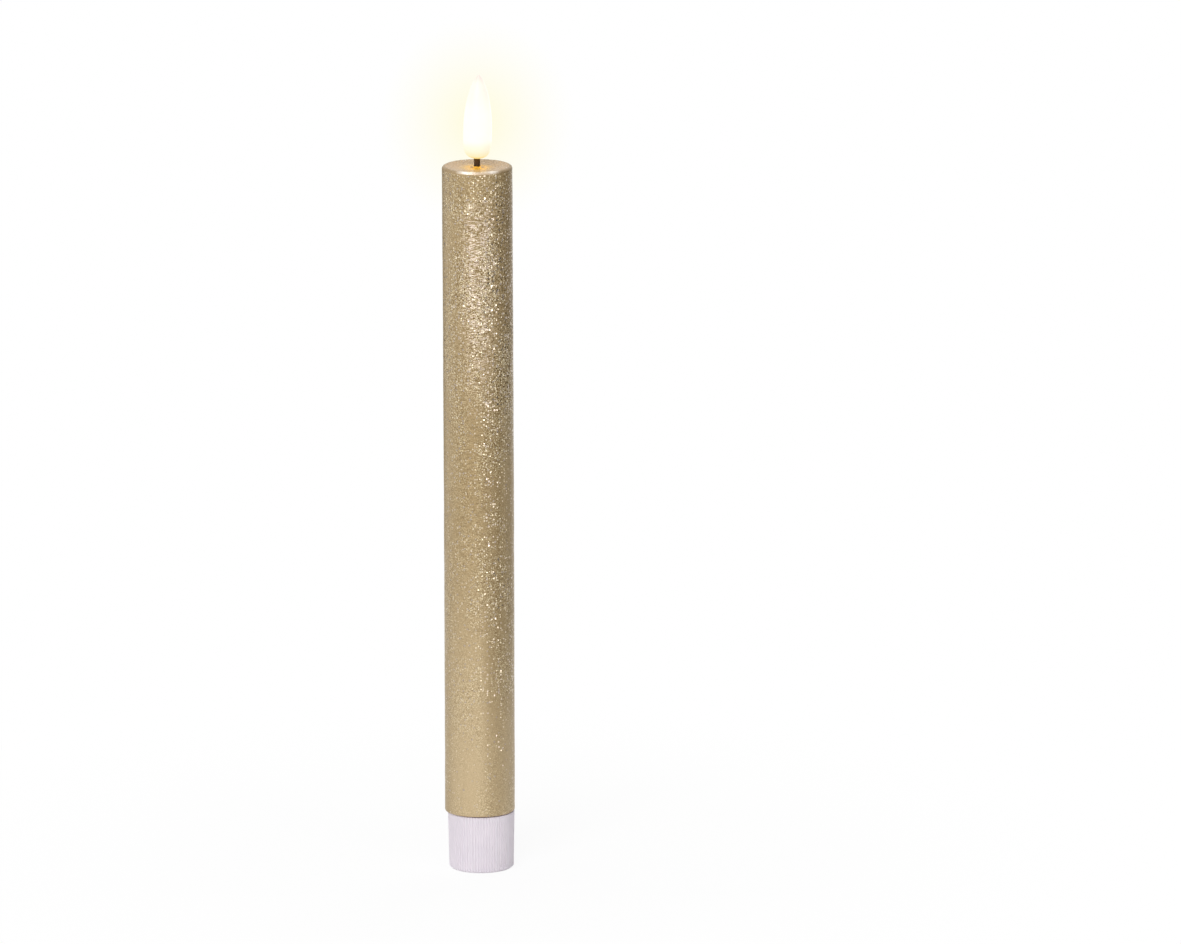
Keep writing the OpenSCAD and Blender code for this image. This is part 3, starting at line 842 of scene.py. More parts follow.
    def made(self) -> Material:
        """Returns the finished material."""
        height, mask = self.crinkle["Height"], self.sparks["Mask"]
        glint = self.times(mask, self.ease(self.sparks["Tone"], 0.5, 0.9), self.up(20, 50, 0.3, 1.0))
        dark = self.times(self.fleck_share, self.minus(1.0, self.spark_glint_share))
        relief = self.times(height, self.blend(self.ruffled_sheen, 0.3, 1.0))
        worn = self.blend(self.noise(self.where, 260.0), 0.75, 1.0)
        gloss = self.times(worn, self.blend(self.front_of_rim, 0.1, 1.0))
        return self.finish(
            Base_Color=self.trimmed(self.glittered(self.ground())),
            Metallic=self.math("MAXIMUM", self.blend(glint, 0.3, 0.9), self.times(dark, 0.95)),
            Roughness=self.blend(mask, self.blend(height, 0.58, 0.42), 0.3),
            Normal=self.bump(relief, 0.2 * MM, 0.8, Normal=self.sparks["Normal"]),
            Coat_Weight=self.blend(self.rim, 0.15, gloss),
            Coat_Roughness=0.07,
        )


@dataclass(frozen=True)
class GlowingFlame:
    """Frosted bulb lit from inside: white over its middle, amber at its foot, rosy at its tip."""

    low: float
    high: float
    frost: Colour = (0.16, 0.14, 0.11)
    frost_deep: Colour = (0.12, 0.10, 0.08)
    frost_size: float = 0.25 * MM
    foot: Colour = (0.86, 0.60, 0.14)
    bowl: Colour = (0.87, 0.77, 0.47)
    cream: Colour = (0.89, 0.84, 0.66)
    core: Colour = (0.99, 0.95, 0.85)
    shoulder: Colour = (0.90, 0.86, 0.78)
    tip: Colour = (0.80, 0.70, 0.66)

    def make(self) -> Material:
        """Returns the material."""
        bulb = Surface("Glowing flame")
        rise = bulb.over(bulb.minus(bulb.split(bulb.where)[2], self.low), self.high - self.low)
        glow = bulb.coated(
            self.foot,
            (bulb.ease(rise, 0.0, 0.05), self.bowl),
            (bulb.ease(rise, 0.03, 0.14), self.cream),
            (bulb.ease(rise, 0.13, 0.24), self.core),
            (bulb.ease(rise, 0.52, 0.80), self.shoulder),
            (bulb.ease(rise, 0.88, 1.0), self.tip),
            (bulb.ease(bulb.noise(bulb.where, 350.0), 0.35, 0.7, 0.0, 0.05), self.bowl),
        )
        frost = bulb.group(grain_group(), Size=self.frost_size)
        return bulb.finish(
            Emission_Color=glow,
            Emission_Strength=1.0,
            Base_Color=bulb.mix(frost["Height"], self.frost_deep, self.frost),
            Roughness=bulb.blend(frost["Height"], 0.42, 0.58),
            Normal=bulb.bump(frost["Height"], 0.03 * MM, 0.4),
        )


@dataclass(frozen=True)
class MouldedPlastic:
    """Injection-moulded plastic with spark-eroded grain, faint flow tones and light scuffs."""

    name: str
    colour: Colour
    shade: Colour
    roughness: float = 0.42
    grain: float = 0.22 * MM
    relief: float = 0.012 * MM
    scuffs: float = 0.4

    def make(self) -> Material:
        """Returns the material."""
        skin = Surface(self.name)
        grain = skin.group(grain_group(), Size=self.grain, Detail=3.0)
        scuffs = skin.group(scuff_group(), Length=5 * MM, Amount=self.scuffs)
        rough = skin.blend(grain["Height"], self.roughness - 0.08, self.roughness + 0.1)
        height = skin.minus(grain["Height"], skin.times(scuffs["Scratches"], 0.5))
        return skin.finish(
            Base_Color=skin.coated(
                self.colour,
                (skin.ease(scuffs["Patches"], 0.1, 0.35), self.shade),
                (skin.times(grain["Hollows"], 0.35), self.shade),
            ),
            Roughness=skin.plus(rough, skin.times(scuffs["Scratches"], 0.15)),
            Normal=skin.bump(height, self.relief, 0.6),
        )


@dataclass(frozen=True)
class PlatedMetal:
    """Plated or drawn metal with fine lines along Z, dull patches and a trace of tarnish."""

    name: str
    colour: Colour
    tarnish: Colour
    roughness: float = 0.3
    line: float = 0.35 * MM

    def make(self) -> Material:
        """Returns the material."""
        metal = Surface(self.name)
        lines = metal.group(grain_group(), Size=self.line, Stretch=(1.0, 1.0, 0.08), Detail=3.0)
        scuffs = metal.group(scuff_group(), Length=3 * MM, Amount=0.8)
        return metal.finish(
            Base_Color=metal.coated(
                self.colour,
                (metal.ease(scuffs["Patches"], 0.38, 0.6), self.tarnish),
                (metal.times(lines["Hollows"], 0.3), self.tarnish),
            ),
            Metallic=metal.ease(scuffs["Patches"], 0.3, 0.7, 1.0, 0.85),
            Roughness=metal.blend(lines["Height"], self.roughness - 0.08, self.roughness + 0.12),
            Normal=metal.bump(metal.minus(lines["Height"], scuffs["Scratches"]), 0.008 * MM, 0.5),
        )


@dataclass(frozen=True)
class BraidedCord:
    """Dark waxed cotton, browner on the raised fibres, with hair-fine strands."""

    fibre: Colour = (0.036, 0.021, 0.014)
    worn: Colour = (0.055, 0.028, 0.016)

    def make(self) -> Material:
        """Returns the material."""
        cord = Surface("Braided wick")
        hairs = cord.group(grain_group(), Size=0.12 * MM, Stretch=(1.0, 1.0, 0.3), Detail=3.0)
        burn = cord.group(scuff_group(), Length=1.6 * MM, Amount=1.0)
        return cord.finish(
            Base_Color=cord.coated(
                self.fibre,
                (cord.ease(hairs["Height"], 0.42, 0.68), self.worn),
                (cord.ease(burn["Patches"], 0.5, 0.7), self.fibre),
            ),
            Roughness=cord.blend(hairs["Height"], 0.5, 0.85),
            Normal=cord.bump(hairs["Height"], 0.04 * MM, 0.9),
            Sheen_Weight=0.05,
            Specular_IOR_Level=0.15,
        )


@dataclass(frozen=True)
class WireSkin:
    """Extruded wire insulation: satin, with faint rings where it was bent."""

    name: str
    colour: Colour
    shade: Colour

    def make(self) -> Material:
        """Returns the material."""
        skin = Surface(self.name)
        rings = skin.group(grain_group(), Size=0.6 * MM, Stretch=(0.4, 0.4, 2.0))
        scuffs = skin.group(scuff_group(), Length=2.5 * MM, Amount=0.7)
        return skin.finish(
            Base_Color=skin.coated(
                self.shade,
                (skin.ease(rings["Height"], 0.35, 0.65), self.colour),
                (skin.times(scuffs["Scratches"], 0.3), self.shade),
            ),
            Roughness=skin.blend(scuffs["Patches"], 0.38, 0.55),
            Normal=skin.bump(rings["Height"], 0.015 * MM, 0.5),
        )


@dataclass(frozen=True)
class SolderMask:
    """Green solder mask over copper tracks, with bare tinned pads at a regular pitch."""

    name: str
    face: tuple[Axis, Axis]
    mask: Colour = (0.012, 0.13, 0.055)
    track: Colour = (0.03, 0.24, 0.10)
    pad: Colour = (0.72, 0.70, 0.66)
    hole: Colour = (0.02, 0.02, 0.02)

    def make(self) -> Material:
        """Returns the material."""
        board = Surface(self.name)
        axes = board.split(board.where)
        flat = board.combined(*(axes[axis.value] for axis in self.face))
        bricks = {
            "Vector": flat, "Scale": 420.0, "Mortar Size": 0.045, "Mortar Smooth": 0.2,
            "Color1": (0, 0, 0), "Color2": (0, 0, 0), "Mortar": (1, 1, 1),
            "Brick Width": 0.9, "Row Height": 0.5,
        }
        tracks = board.node("ShaderNodeTexBrick", bricks).outputs["Fac"]
        dots = {"Vector": flat, "Scale": 390.0, "Randomness": 0.35}
        pads = board.node("ShaderNodeTexVoronoi", dots).outputs["Distance"]
        bare = board.ease(pads, 0.17, 0.13)
        weave = board.group(grain_group(), Size=0.3 * MM)
        return board.finish(
            Base_Color=board.coated(
                self.mask,
                (board.times(tracks, 0.8), self.track),
                (board.times(weave["Hollows"], 0.3), self.mask),
                (bare, self.pad),
                (board.ease(pads, 0.06, 0.04), self.hole),
            ),
            Metallic=board.times(bare, 0.9),
            Roughness=board.blend(bare, 0.32, 0.25),
            Normal=board.bump(board.plus(tracks, bare), 0.03 * MM, 0.5),
            Coat_Weight=0.3,
        )


@dataclass(frozen=True)
class TwoToneBody:
    """A component with a body and ends of another finish, parted by a distance along one axis."""

    name: str
    axis: Axis
    middle: float
    reach: float
    body: Colour
    ends: Colour
    ends_metallic: float = 0.95
    edge: float = 0.04 * MM
    wear: Point = (1.6, 0.01)
    dulling: float = 0.7

    def make(self) -> Material:
        """Returns the material."""
        part = Surface(self.name)
        along = part.split(part.where)[self.axis.value]
        away = part.math("ABSOLUTE", part.minus(along, self.middle))
        end = part.ease(away, self.reach, self.reach + self.edge)
        grain = part.group(grain_group(), Size=0.15 * MM, Detail=3.0)
        gain, lift = self.wear
        worn_body = tuple(c * gain + lift for c in self.body)
        dull_ends = tuple(c * self.dulling for c in self.ends)
        body = part.mix(part.times(grain["Height"], 0.5), self.body, worn_body)
        return part.finish(
            Base_Color=part.mix(end, body, part.mix(grain["Hollows"], self.ends, dull_ends)),
            Metallic=part.times(end, self.ends_metallic),
            Roughness=part.blend(end, part.blend(grain["Height"], 0.4, 0.6), 0.28),
            Normal=part.bump(grain["Height"], 0.01 * MM, 0.6),
        )


@dataclass(frozen=True)
class CellWrap:
    """Shrink-wrapped can of a cell: dark sleeve, pale bands at its shoulder and bare metal ends."""

    name: str
    high: float
    sleeve: Colour = (0.035, 0.075, 0.11)
    band: Colour = (0.62, 0.64, 0.66)
    steel: Colour = (0.66, 0.66, 0.67)
    glue: Colour = (0.01, 0.01, 0.012)
    fading: float = 1.5
    shoulder: Point = (4.55 * MM, 4.7 * MM)
    band_foot: Point = (9.2 * MM, 9.1 * MM)
    band_head: Point = (6.1 * MM, 6.2 * MM)
    seam_place: float = 0.4 * MM
    seam_edge: Point = (0.12 * MM, 0.06 * MM)

    def make(self) -> Material:
        """Returns the material."""
        can = Surface(self.name)
        x, y, z = can.split(can.where)
        wrapped = can.ease(can.from_axis(x, y), *self.shoulder)
        ends = (can.ease(z, *(self.high - drop for drop in end)) for end in (self.band_foot, self.band_head))
        band = can.times(*ends)
        off_seam = can.math("ABSOLUTE", can.minus(y, self.seam_place))
        seam = can.times(can.ease(off_seam, *self.seam_edge), can.ease(x, 0.0, 1 * MM))
        scuffs = can.group(scuff_group(), Length=5 * MM, Amount=0.8)
        faded = tuple(c * self.fading for c in self.sleeve)
        sleeve = can.coated(
            self.sleeve,
            (can.ease(scuffs["Patches"], 0.3, 0.6), faded),
            (band, self.band),
            (can.times(seam, 0.4), self.glue),
        )
        return can.finish(
            Base_Color=can.mix(wrapped, self.steel, sleeve),
            Metallic=can.blend(wrapped, 0.95, 0.25),
            Roughness=can.plus(0.27, can.times(scuffs["Patches"], 0.2)),
            Normal=can.bump(can.minus(seam, scuffs["Scratches"]), 0.02 * MM, 0.5),
        )


@dataclass(frozen=True)
class LitResin:
    """Warm white diode resin, lit from its chip and cloudier at its flange."""

    low: float
    high: float
    foot: Colour = (1.0, 0.62, 0.25)
    tip: Colour = (1.0, 0.9, 0.66)
    cloud: Colour = (0.8, 0.5, 0.2)
    resin: Colour = (0.9, 0.78, 0.5)
    resin_deep: Colour = (0.8, 0.66, 0.4)

    def make(self) -> Material:
        """Returns the material."""
        resin = Surface("Lit resin")
        glow = resin.mix(resin.ease(resin.split(resin.where)[2], self.low, self.high), self.foot, self.tip)
        cloud = resin.group(grain_group(), Size=0.5 * MM)
        return resin.finish(
            Emission_Color=resin.mix(resin.times(cloud["Hollows"], 0.4), glow, self.cloud),
            Emission_Strength=1.0,
            Base_Color=resin.mix(cloud["Height"], self.resin, self.resin_deep),
            Roughness=resin.blend(cloud["Height"], 0.1, 0.25),
        )


@dataclass(frozen=True)
class Finishes:
    """The finishes that more than one piece shares, each made once."""

    ivory: Material
    white: Material
    cap: Material
    black: Material
    tinned: Material
    contact: Material
    switch: Material

    @staticmethod
    def make() -> "Finishes":
        """Returns the shared finishes."""
        cap = MouldedPlastic(
            "Cap plastic", (0.80, 0.745, 0.80), (0.765, 0.71, 0.77), roughness=0.44, relief=0.006 * MM
        )
        black = MouldedPlastic("Black plastic", (0.028, 0.028, 0.031), (0.045, 0.045, 0.048), 0.4)
        return Finishes(
            ivory=MouldedPlastic("Ivory plastic", (0.80, 0.77, 0.66), (0.72, 0.68, 0.56)).make(),
            white=MouldedPlastic("White plastic", (0.80, 0.79, 0.75), (0.72, 0.71, 0.66)).make(),
            cap=cap.make(),
            black=black.make(),
            tinned=PlatedMetal("Tinned steel", (0.68, 0.68, 0.70), (0.42, 0.40, 0.38)).make(),
            contact=PlatedMetal("Contact metal", (0.72, 0.68, 0.56), (0.46, 0.40, 0.28)).make(),
            switch=PlatedMetal("Switch metal", (0.62, 0.63, 0.65), (0.44, 0.43, 0.42), 0.44).make(),
        )


# ---- Sub-assemblies ------------------------

TURNED_COLUMNS = 32
STRAND_SIDES = 8
STRAND_STEPS = 14
RIDGE_SIDES = 12
WIRE_SIDES = 14
SPRING_POINTS = 193


@dataclass
class WaxSleeve:
    """The wax: a long sleeve with a rounded rim, a dished top and a hand-dipped surface."""

    bore: float = 9.0 * MM
    wick_hole: float = 1.1 * MM
    lid: float = 4.0 * MM
    rim: float = 0.85 * MM
    foot: float = 0.4 * MM
    dish: float = 0.5 * MM
    dish_inset: float = 0.4 * MM
    dish_flat: float = 0.6
    bead_reach: float = 1.5 * MM
    bead_rise: float = 0.4 * MM
    bead_sink: float = 0.02 * MM
    bead_shape: tuple[Point, ...] = ((0.5, 0.12), (0.2, 0.55), (0.0, 1.0))
    columns: int = 192
    rows: int = 330
    crinkle_height: float = 0.05 * MM
    crinkle_size: float = 1.7 * MM
    wave_height: float = 0.09 * MM
    wave_size: float = 14 * MM
    lip_height: float = 0.10 * MM
    lip_reach: float = 2.5 * MM
    overhang: float = 0.12 * MM
    drift: float = -0.4 * MM
    skin_depths: Point = (1.6 * MM, 0.3 * MM)
    top_depths: Point = (1.2 * MM, 0.6 * MM)
    lump_height: float = 0.22 * MM
    lump_edge: Point = (10.6 * MM, 9.8 * MM)

    def outline(self) -> list[Point]:
        """Returns the closed outline of the wax as (radius, height)."""
        low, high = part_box("wax_sleeve")
        outer, base, top = high.x, low.z - self.overhang, high.z
        dish_edge = outer - self.rim - self.dish_inset
        floor = top - self.dish
        side_low, side_high = (outer, base + self.foot), (outer, top - self.rim)
        dish_foot = (dish_edge * self.dish_flat, floor)
        reach = self.bead_reach
        bead_edge = (self.wick_hole + reach, floor - self.bead_sink)
        return [
            (self.bore, base),
            *arc((outer - self.foot, base + self.foot), self.foot, -90, 0, 6),
            *divided(side_low, side_high, self.rows),
            *arc((outer - self.rim, top - self.rim), self.rim, 0, 90, 12),
            (dish_edge, top),
            *divided((dish_edge, top), dish_foot, 6),
            dish_foot,
            *divided(dish_foot, bead_edge, 8),
            bead_edge,
            *((self.wick_hole + r * reach, floor + h * self.bead_rise) for r, h in self.bead_shape),
            (self.wick_hole, top - self.lid),
            (self.bore, top - self.lid),
        ]

    def relief(self, graph: Shape, given: Any) -> Socket:
        """Presses waves and crinkles into the outside of the wax.

        Args:
            graph: The started tree.
            given: Its inputs by name.

        Returns:
            The geometry.
        """
        low, high = given["Low"], given["High"]
        here, outward, radius, (_, _, z) = graph.polar()
        full = given["Radius"]
        skin = graph.ease(radius, *(graph.minus(full, depth) for depth in self.skin_depths))
        flattened = graph.vector("MULTIPLY", here, (1.0, 1.0, 2.8))
        crinkle = graph.noise(flattened, graph.over(1.0, given["Crinkle Size"]), 2.0, 0.6)
        wave = graph.noise(here, graph.over(1.0, given["Wave Size"]), 1.0)
        pressed = graph.times(graph.minus(crinkle, 0.5), graph.times(given["Crinkle Height"], 2.0))
        swelled = graph.times(graph.minus(wave, 0.5), graph.times(given["Wave Height"], 2.0))
        side = graph.scaled(outward, graph.times(graph.plus(pressed, swelled), skin))

        lip = graph.ease(graph.noise(here, 220.0, 1.0), 0.3, 0.7)
        near_foot = graph.ease(z, graph.plus(low, self.lip_reach), low)
        rise = graph.times(lip, given["Lip Height"], near_foot, skin)
        share = graph.over(graph.minus(high, z), graph.minus(high, low))
        sideways = graph.times(graph.math("POWER", share, 2.0), given["Drift"], skin)

        on_top = graph.ease(z, *(graph.minus(high, depth) for depth in self.top_depths))
        lumps = graph.times(graph.minus(graph.noise(here, 800.0), 0.55), self.lump_height)
        heaped = graph.times(lumps, on_top, graph.ease(radius, *self.lump_edge))
        shift = graph.combined(x=sideways, z=graph.plus(rise, heaped))
        return graph.moved(given["Geometry"], Offset=graph.vector("ADD", side, shift))

    def build(self) -> None:
        """Builds the wax and puts it in place of its node."""
        low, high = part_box("wax_sleeve")
        wax = GoldWax(low=low.z, high=high.z, radius=high.x).make()
        sleeve = lathe("wax_skin", self.outline(), self.columns)
        grown(
            sleeve, "Wax relief", self.relief, wax, Crinkle_Height=self.crinkle_height,
            Crinkle_Size=self.crinkle_size, Wave_Height=self.wave_height, Wave_Size=self.wave_size,
            Lip_Height=self.lip_height, Drift=self.drift, Radius=high.x, Low=low.z, High=high.z,
        )
        place(sleeve, Body.CANDLE, Slot.GOLD_WAX, "wax_sleeve")


@dataclass(frozen=True)
class Teardrop:
    """A flame's outline, round at its foot and drawn to a tip."""

    radius: float
    height: float
    belly: float
    foot_powers: Point = (5, 0.36)
    tip_powers: Point = (2, 0.7)

    def at(self, height: float) -> float:
        """Finds the radius at a height.

        Args:
            height: Height above the bottom.

        Returns:
            The radius.
        """
        if height < self.belly:
            share, powers = (self.belly - height) / self.belly, self.foot_powers
        else:
            share, powers = (height - self.belly) / (self.height - self.belly), self.tip_powers
        return self.radius * max(0.0, 1 - share ** powers[0]) ** powers[1]

    def side(self, start: float, steps: int) -> list[Point]:
        """Returns its points above a start radius, in steps that are small at both ends."""
        heights = [self.height * (1 - math.cos(math.pi * i / steps)) / 2 for i in range(1, steps + 1)]
        return [(self.at(h), h) for h in heights if self.at(h) > start or h > self.belly]


@dataclass
class FlameTop:
    """The frosted flame, the diode in it, its leads and the braided wick that carries them."""

    flame_height: float = 26.5 * MM
    flame_radius: float = 4.45 * MM
    belly: float = 9.5 * MM
    wall: float = 0.9 * MM
    walls_in_height: int = 3
    tip_gap: float = 0.004 * MM
    lean_degrees: float = 1.5
    wick_exposed: float = 2.4 * MM
    hole: float = 1.05 * MM
    lip: float = 0.3 * MM
    columns: int = 96
    outer_steps: int = 64
    inner_steps: int = 32
    sharp_degrees: float = 60.0
    strands: int = 9
    strand_radius: float = 0.135 * MM
    braid_turns: float = 6.4
    core_inset: float = 0.2 * MM
    core_wall: float = 0.08 * MM

    def flame(self, bottom: float) -> Piece:
        """Builds the hollow flame, whose tips stay a hair off its leaning axis.

        Args:
            bottom: Height of its bottom.

        Returns:
            The flame.
        """
        outer = Teardrop(self.flame_radius, self.flame_height, self.belly)
        wall = self.wall
        hollow = self.flame_height - self.walls_in_height * wall
        inner = Teardrop(self.flame_radius - wall, hollow, self.belly - wall)
        outline = [
            (self.hole, 0.0), (self.hole + self.lip, 0.0),
            *outer.side(self.hole + self.lip, self.outer_steps),
            *((r, h + wall) for r, h in reversed(inner.side(self.hole, self.inner_steps))),
            (self.hole, wall),
        ]
        flame = lathe("flame_bulb", [(max(r, self.tip_gap), h) for r, h in outline], self.columns)
        lean = Matrix.Rotation(math.radians(self.lean_degrees), 4, "Y")
        flame.data.transform(Matrix.Translation((0, 0, bottom)) @ lean)
        smooth(flame, self.sharp_degrees)
        return flame

    @staticmethod
    def braid(graph: Shape, given: Any) -> Socket:
        """Lays strands both ways round a core.

        Args:
            graph: The started tree.
            given: Its inputs by name.

        Returns:
            The geometry.
        """
        spiral = {
            "Resolution": STRAND_STEPS, "Rotations": given["Turns"], "Start Radius": given["Braid Radius"],
            "End Radius": given["Braid Radius"], "Height": given["Height"],
        }
        profile = graph.ring(STRAND_SIDES, given["Strand Radius"])
        ways = []
        for reverse in (False, True):
            strand = graph.out("GeometryNodeCurveSpiral", {**spiral, "Reverse": reverse})
            seats = graph.out("GeometryNodeMeshLine", {"Count": given["Strands"], "Offset": (0.0, 0.0, 0.0)})
            step = graph.over(math.tau, given["Strands"])
            turn = graph.combined(z=graph.times(graph.out("GeometryNodeInputIndex"), step))
            strands = graph.copied(graph.wire(strand, profile), Points=seats, Rotation=turn)
            lifted = {"Geometry": strands, "Translation": graph.combined(z=given["Low"])}
            ways.append(graph.out("GeometryNodeTransform", lifted))
        return graph.joined(given["Geometry"], *ways)

    def build(self, finishes: Finishes) -> None:
        """Builds the flame and the wick and dresses the diode and its leads.

        Args:
            finishes: The shared finishes.
        """
        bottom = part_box("wax_sleeve")[1].z + self.wick_exposed
        flame = self.flame(bottom)
        dress(GlowingFlame(low=bottom, high=bottom + self.flame_height).make(), flame)
        place(flame, Body.CANDLE, Slot.GLOWING_FLAME, "flame_shell")

        low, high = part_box("wick_sleeve")
        core = high.x - self.core_inset
        bore = core - self.core_wall
        tube = [(bore, low.z), (core, low.z), (core, high.z), (bore, high.z)]
        wick = lathe("wick_braid", tube, TURNED_COLUMNS)
        grown(
            wick, "Braid", self.braid, BraidedCord().make(), Strands=self.strands, Turns=self.braid_turns,
            Braid_Radius=high.x - self.strand_radius, Strand_Radius=self.strand_radius, Low=low.z,
            Height=high.z - low.z,
        )
        place(wick, Body.CANDLE, Slot.BLACK_WICK, "wick_sleeve")

        low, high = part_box("led_body")
        dress(LitResin(low=low.z, high=high.z).make(), "led_body")
        dress(finishes.tinned, "led_leads")


@dataclass
class CandleCore:
    """What the wax hides: tube, plug, circuit board, cell housing, contacts and wires."""

    chip_middle: float = -0.05 * MM
    chip_half_width: float = 2.0 * MM
    resistor_half_length: float = 0.62 * MM
    can_foot: float = 0.4 * MM
    tinned_ends: Colour = (0.68, 0.68, 0.70)
    epoxy: Colour = (0.02, 0.02, 0.022)

    def components(self) -> None:
        """Dresses the chip, the resistor and the capacitor."""
        chip = TwoToneBody(
            "Timer chip", Axis.X, self.chip_middle, self.chip_half_width, self.epoxy, self.tinned_ends
        )
        dress(chip.make(), "timer_chip")
        low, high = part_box("resistor")
        middle = (low.z + high.z) / 2
        resistor = TwoToneBody(
            "Resistor", Axis.Z, middle, self.resistor_half_length, self.epoxy, (0.70, 0.70, 0.71)
        )
        dress(resistor.make(), "resistor")
        low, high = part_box("capacitor")
        can = TwoToneBody(
            "Capacitor", Axis.Y, high.y, high.y - low.y - self.can_foot, (0.60, 0.62, 0.65),
            (0.03, 0.03, 0.03), ends_metallic=0.0,
        )
        dress(can.make(), "capacitor")

    def build(self, finishes: Finishes) -> None:
        """Dresses the pieces inside the candle.

        Args:
            finishes: The shared finishes.
        """
        dress(finishes.ivory, "inner_tube", "top_plug")
        dress(finishes.white, "cell_housing", "housing_end_plug")
        dress(finishes.contact, "positive_contact", "contact_strip")
        dress(SolderMask("Circuit board", (Axis.X, Axis.Z)).make(), "circuit_board")
        self.components()
        dress(WireSkin("Red insulation", (0.58, 0.028, 0.02), (0.42, 0.015, 0.012)).make(), "red_wire")
        dress(WireSkin("Black insulation", (0.03, 0.03, 0.032), (0.016, 0.016, 0.018)).make(), "black_wire")
        for name, cell in (("Upper cell", "upper_cell"), ("Lower cell", "lower_cell")):
            dress(CellWrap(name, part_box(cell)[1].z).make(), cell)


@dataclass
class ScrewCap:
    """The ribbed cap with its board, screws, contact ring and spring."""

    rib_count: int = 72
    rib_depth: float = 0.26 * MM
    columns_per_rib: int = 8
    sharp_degrees: float = 28.0
    rib_root: float = 0.5 * MM
    rib_skin: float = 0.25 * MM
    groove_start: float = 0.1
    foot_radius: float = 10.15 * MM
    foot_rings: tuple[float, ...] = (0.0, 3.0 * MM, 6.0 * MM, 8.6 * MM)
    chamfer: float = 0.5 * MM
    chamfer_eased: Point = (0.12 * MM, 0.03 * MM)
    shoulder_eased: Point = (0.08 * MM, 0.1 * MM)
    floor: float = 1.5 * MM
    well: float = 7.2 * MM
    ledge: float = 4.9 * MM
    bore: float = 8.75 * MM
    bore_chamfer: float = 0.2 * MM
    rim_round: float = 0.3 * MM
    recess: Place = (6.9 * MM, 4.1 * MM, 0.7 * MM)
    recess_round: float = 0.35 * MM
    window: Point = (3.9 * MM, 2.1 * MM)
    window_round: float = 0.12 * MM
    boss_radius: float = 1.5 * MM
    boss_bore: float = 0.85 * MM
    boss_place: float = 5.05 * MM
    boss_chamfer: float = 0.1 * MM
    overlap: float = 0.1 * MM
    thread_height: float = 11.05 * MM
    thread_pitch: float = 3.0 * MM
    thread_depth: float = 0.7 * MM
    thread_width: float = 1.1 * MM
    thread_root: float = 0.2 * MM
    thread_steps: int = 72
    thread_fade: int = 6
    word_size: float = 2.3 * MM
    word_depth: float = 0.25 * MM
    word_bold: float = 0.05 * MM
    on_place: float = -6.2 * MM
    off_place: float = 6.3 * MM
    spring_wire: float = 0.25 * MM
    spring_turns: float = 4.0
    spring_base: float = 3.2 * MM
    spring_tip: float = 2.2 * MM
    spring_flat: float = 0.8

    def outline(self) -> list[Point]:
        """Returns the cap's outline from the middle of its foot to the middle of its floor."""
        _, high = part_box("screw_cap")
        rim, top = high.x, high.z
        draft = (rim - self.foot_radius) / top
        shoulder = (self.foot_radius + draft * self.chamfer, self.chamfer)
        rim_low = (rim - draft * self.rim_round, top - self.rim_round)
        bore_top = (self.bore, top - self.bore_chamfer)
        (inset, lift), (tuck, drop) = self.chamfer_eased, self.shoulder_eased
        return [
            *((radius, 0.0) for radius in self.foot_rings),
            (self.foot_radius - self.chamfer - inset, 0.0),
            (self.foot_radius - self.chamfer, lift),
            (self.foot_radius - tuck, self.chamfer - drop),
            shoulder,
            *divided(shoulder, rim_low, 10),
            *arc((rim_low[0] - self.rim_round, rim_low[1]), self.rim_round, 0, 90, 5),
            (self.bore + self.bore_chamfer, top), bore_top,
            *divided(bore_top, (self.bore, self.ledge), 6),
            (self.bore, self.ledge), (self.well, self.ledge), (self.well, self.floor), (0.0, self.floor),
        ]

    def ribs(self, graph: Shape, given: Any) -> Socket:
        """Presses the grooves between the ribs into the cap's side.

        Args:
            graph: The started tree.
            given: Its inputs by name.

        Returns:
            The geometry.
        """
        _, outward, radius, (x, y, _) = graph.polar()
        turn = graph.times(graph.math("ARCTAN2", y, x), given["Rib Count"])
        groove = graph.ease(graph.math("COSINE", turn), self.groove_start, 1.0)
        side = graph.ease(radius, given["Inner Radius"], graph.plus(given["Inner Radius"], self.rib_skin))
        inward = graph.scaled(outward, graph.times(groove, side, given["Rib Depth"], -1.0))
        return graph.moved(given["Geometry"], Offset=inward)

    def thread(self) -> Piece:
        """Returns the cap's inner thread: one turn of a ridge with faded ends."""
        steps, half = self.thread_steps, self.thread_width / 2
        root = self.bore + self.thread_root
        vertices: list[Place] = []
        for i in range(steps + 1):
            share = min(1.0, (min(i, steps - i) + 0.5) / self.thread_fade)
            tip = self.bore - self.thread_depth * share
            rise = self.thread_height + self.thread_pitch * i / steps
            for radius, lift in ((root, -half), (tip, -0.5 * half), (tip, 0.5 * half), (root, half)):
                vertices.append(around(radius, math.tau * i / steps, rise + lift))
        faces = [(0, 1, 2, 3), tuple(4 * steps + k for k in (3, 2, 1, 0))]
        for i in range(steps):
            for k in range(4):
                n = (k + 1) % 4
                faces.append((4 * i + k, 4 * i + 4 + k, 4 * i + 4 + n, 4 * i + n))
        ridge = from_faces("thread", vertices, faces)
        shape = bmesh.new()
        shape.from_mesh(ridge.data)
        bmesh.ops.recalc_face_normals(shape, faces=shape.faces)
        shape.to_mesh(ridge.data)
        shape.free()
        return ridge

    def bosses(self) -> list[Piece]:
        """Returns the two bosses that take the board's screws."""
        low, chamfer = self.floor - self.overlap, self.boss_chamfer
        outline = [
            (self.boss_bore, low), (self.boss_radius, low), (self.boss_radius, self.ledge - chamfer),
            (self.boss_radius - chamfer, self.ledge), (self.boss_bore, self.ledge),
        ]
        made = []
        for side in (-1, 1):
            boss = lathe("boss", outline, TURNED_COLUMNS)
            boss.data.transform(Matrix.Translation((0, side * self.boss_place, 0)))
            made.append(boss)
        return made

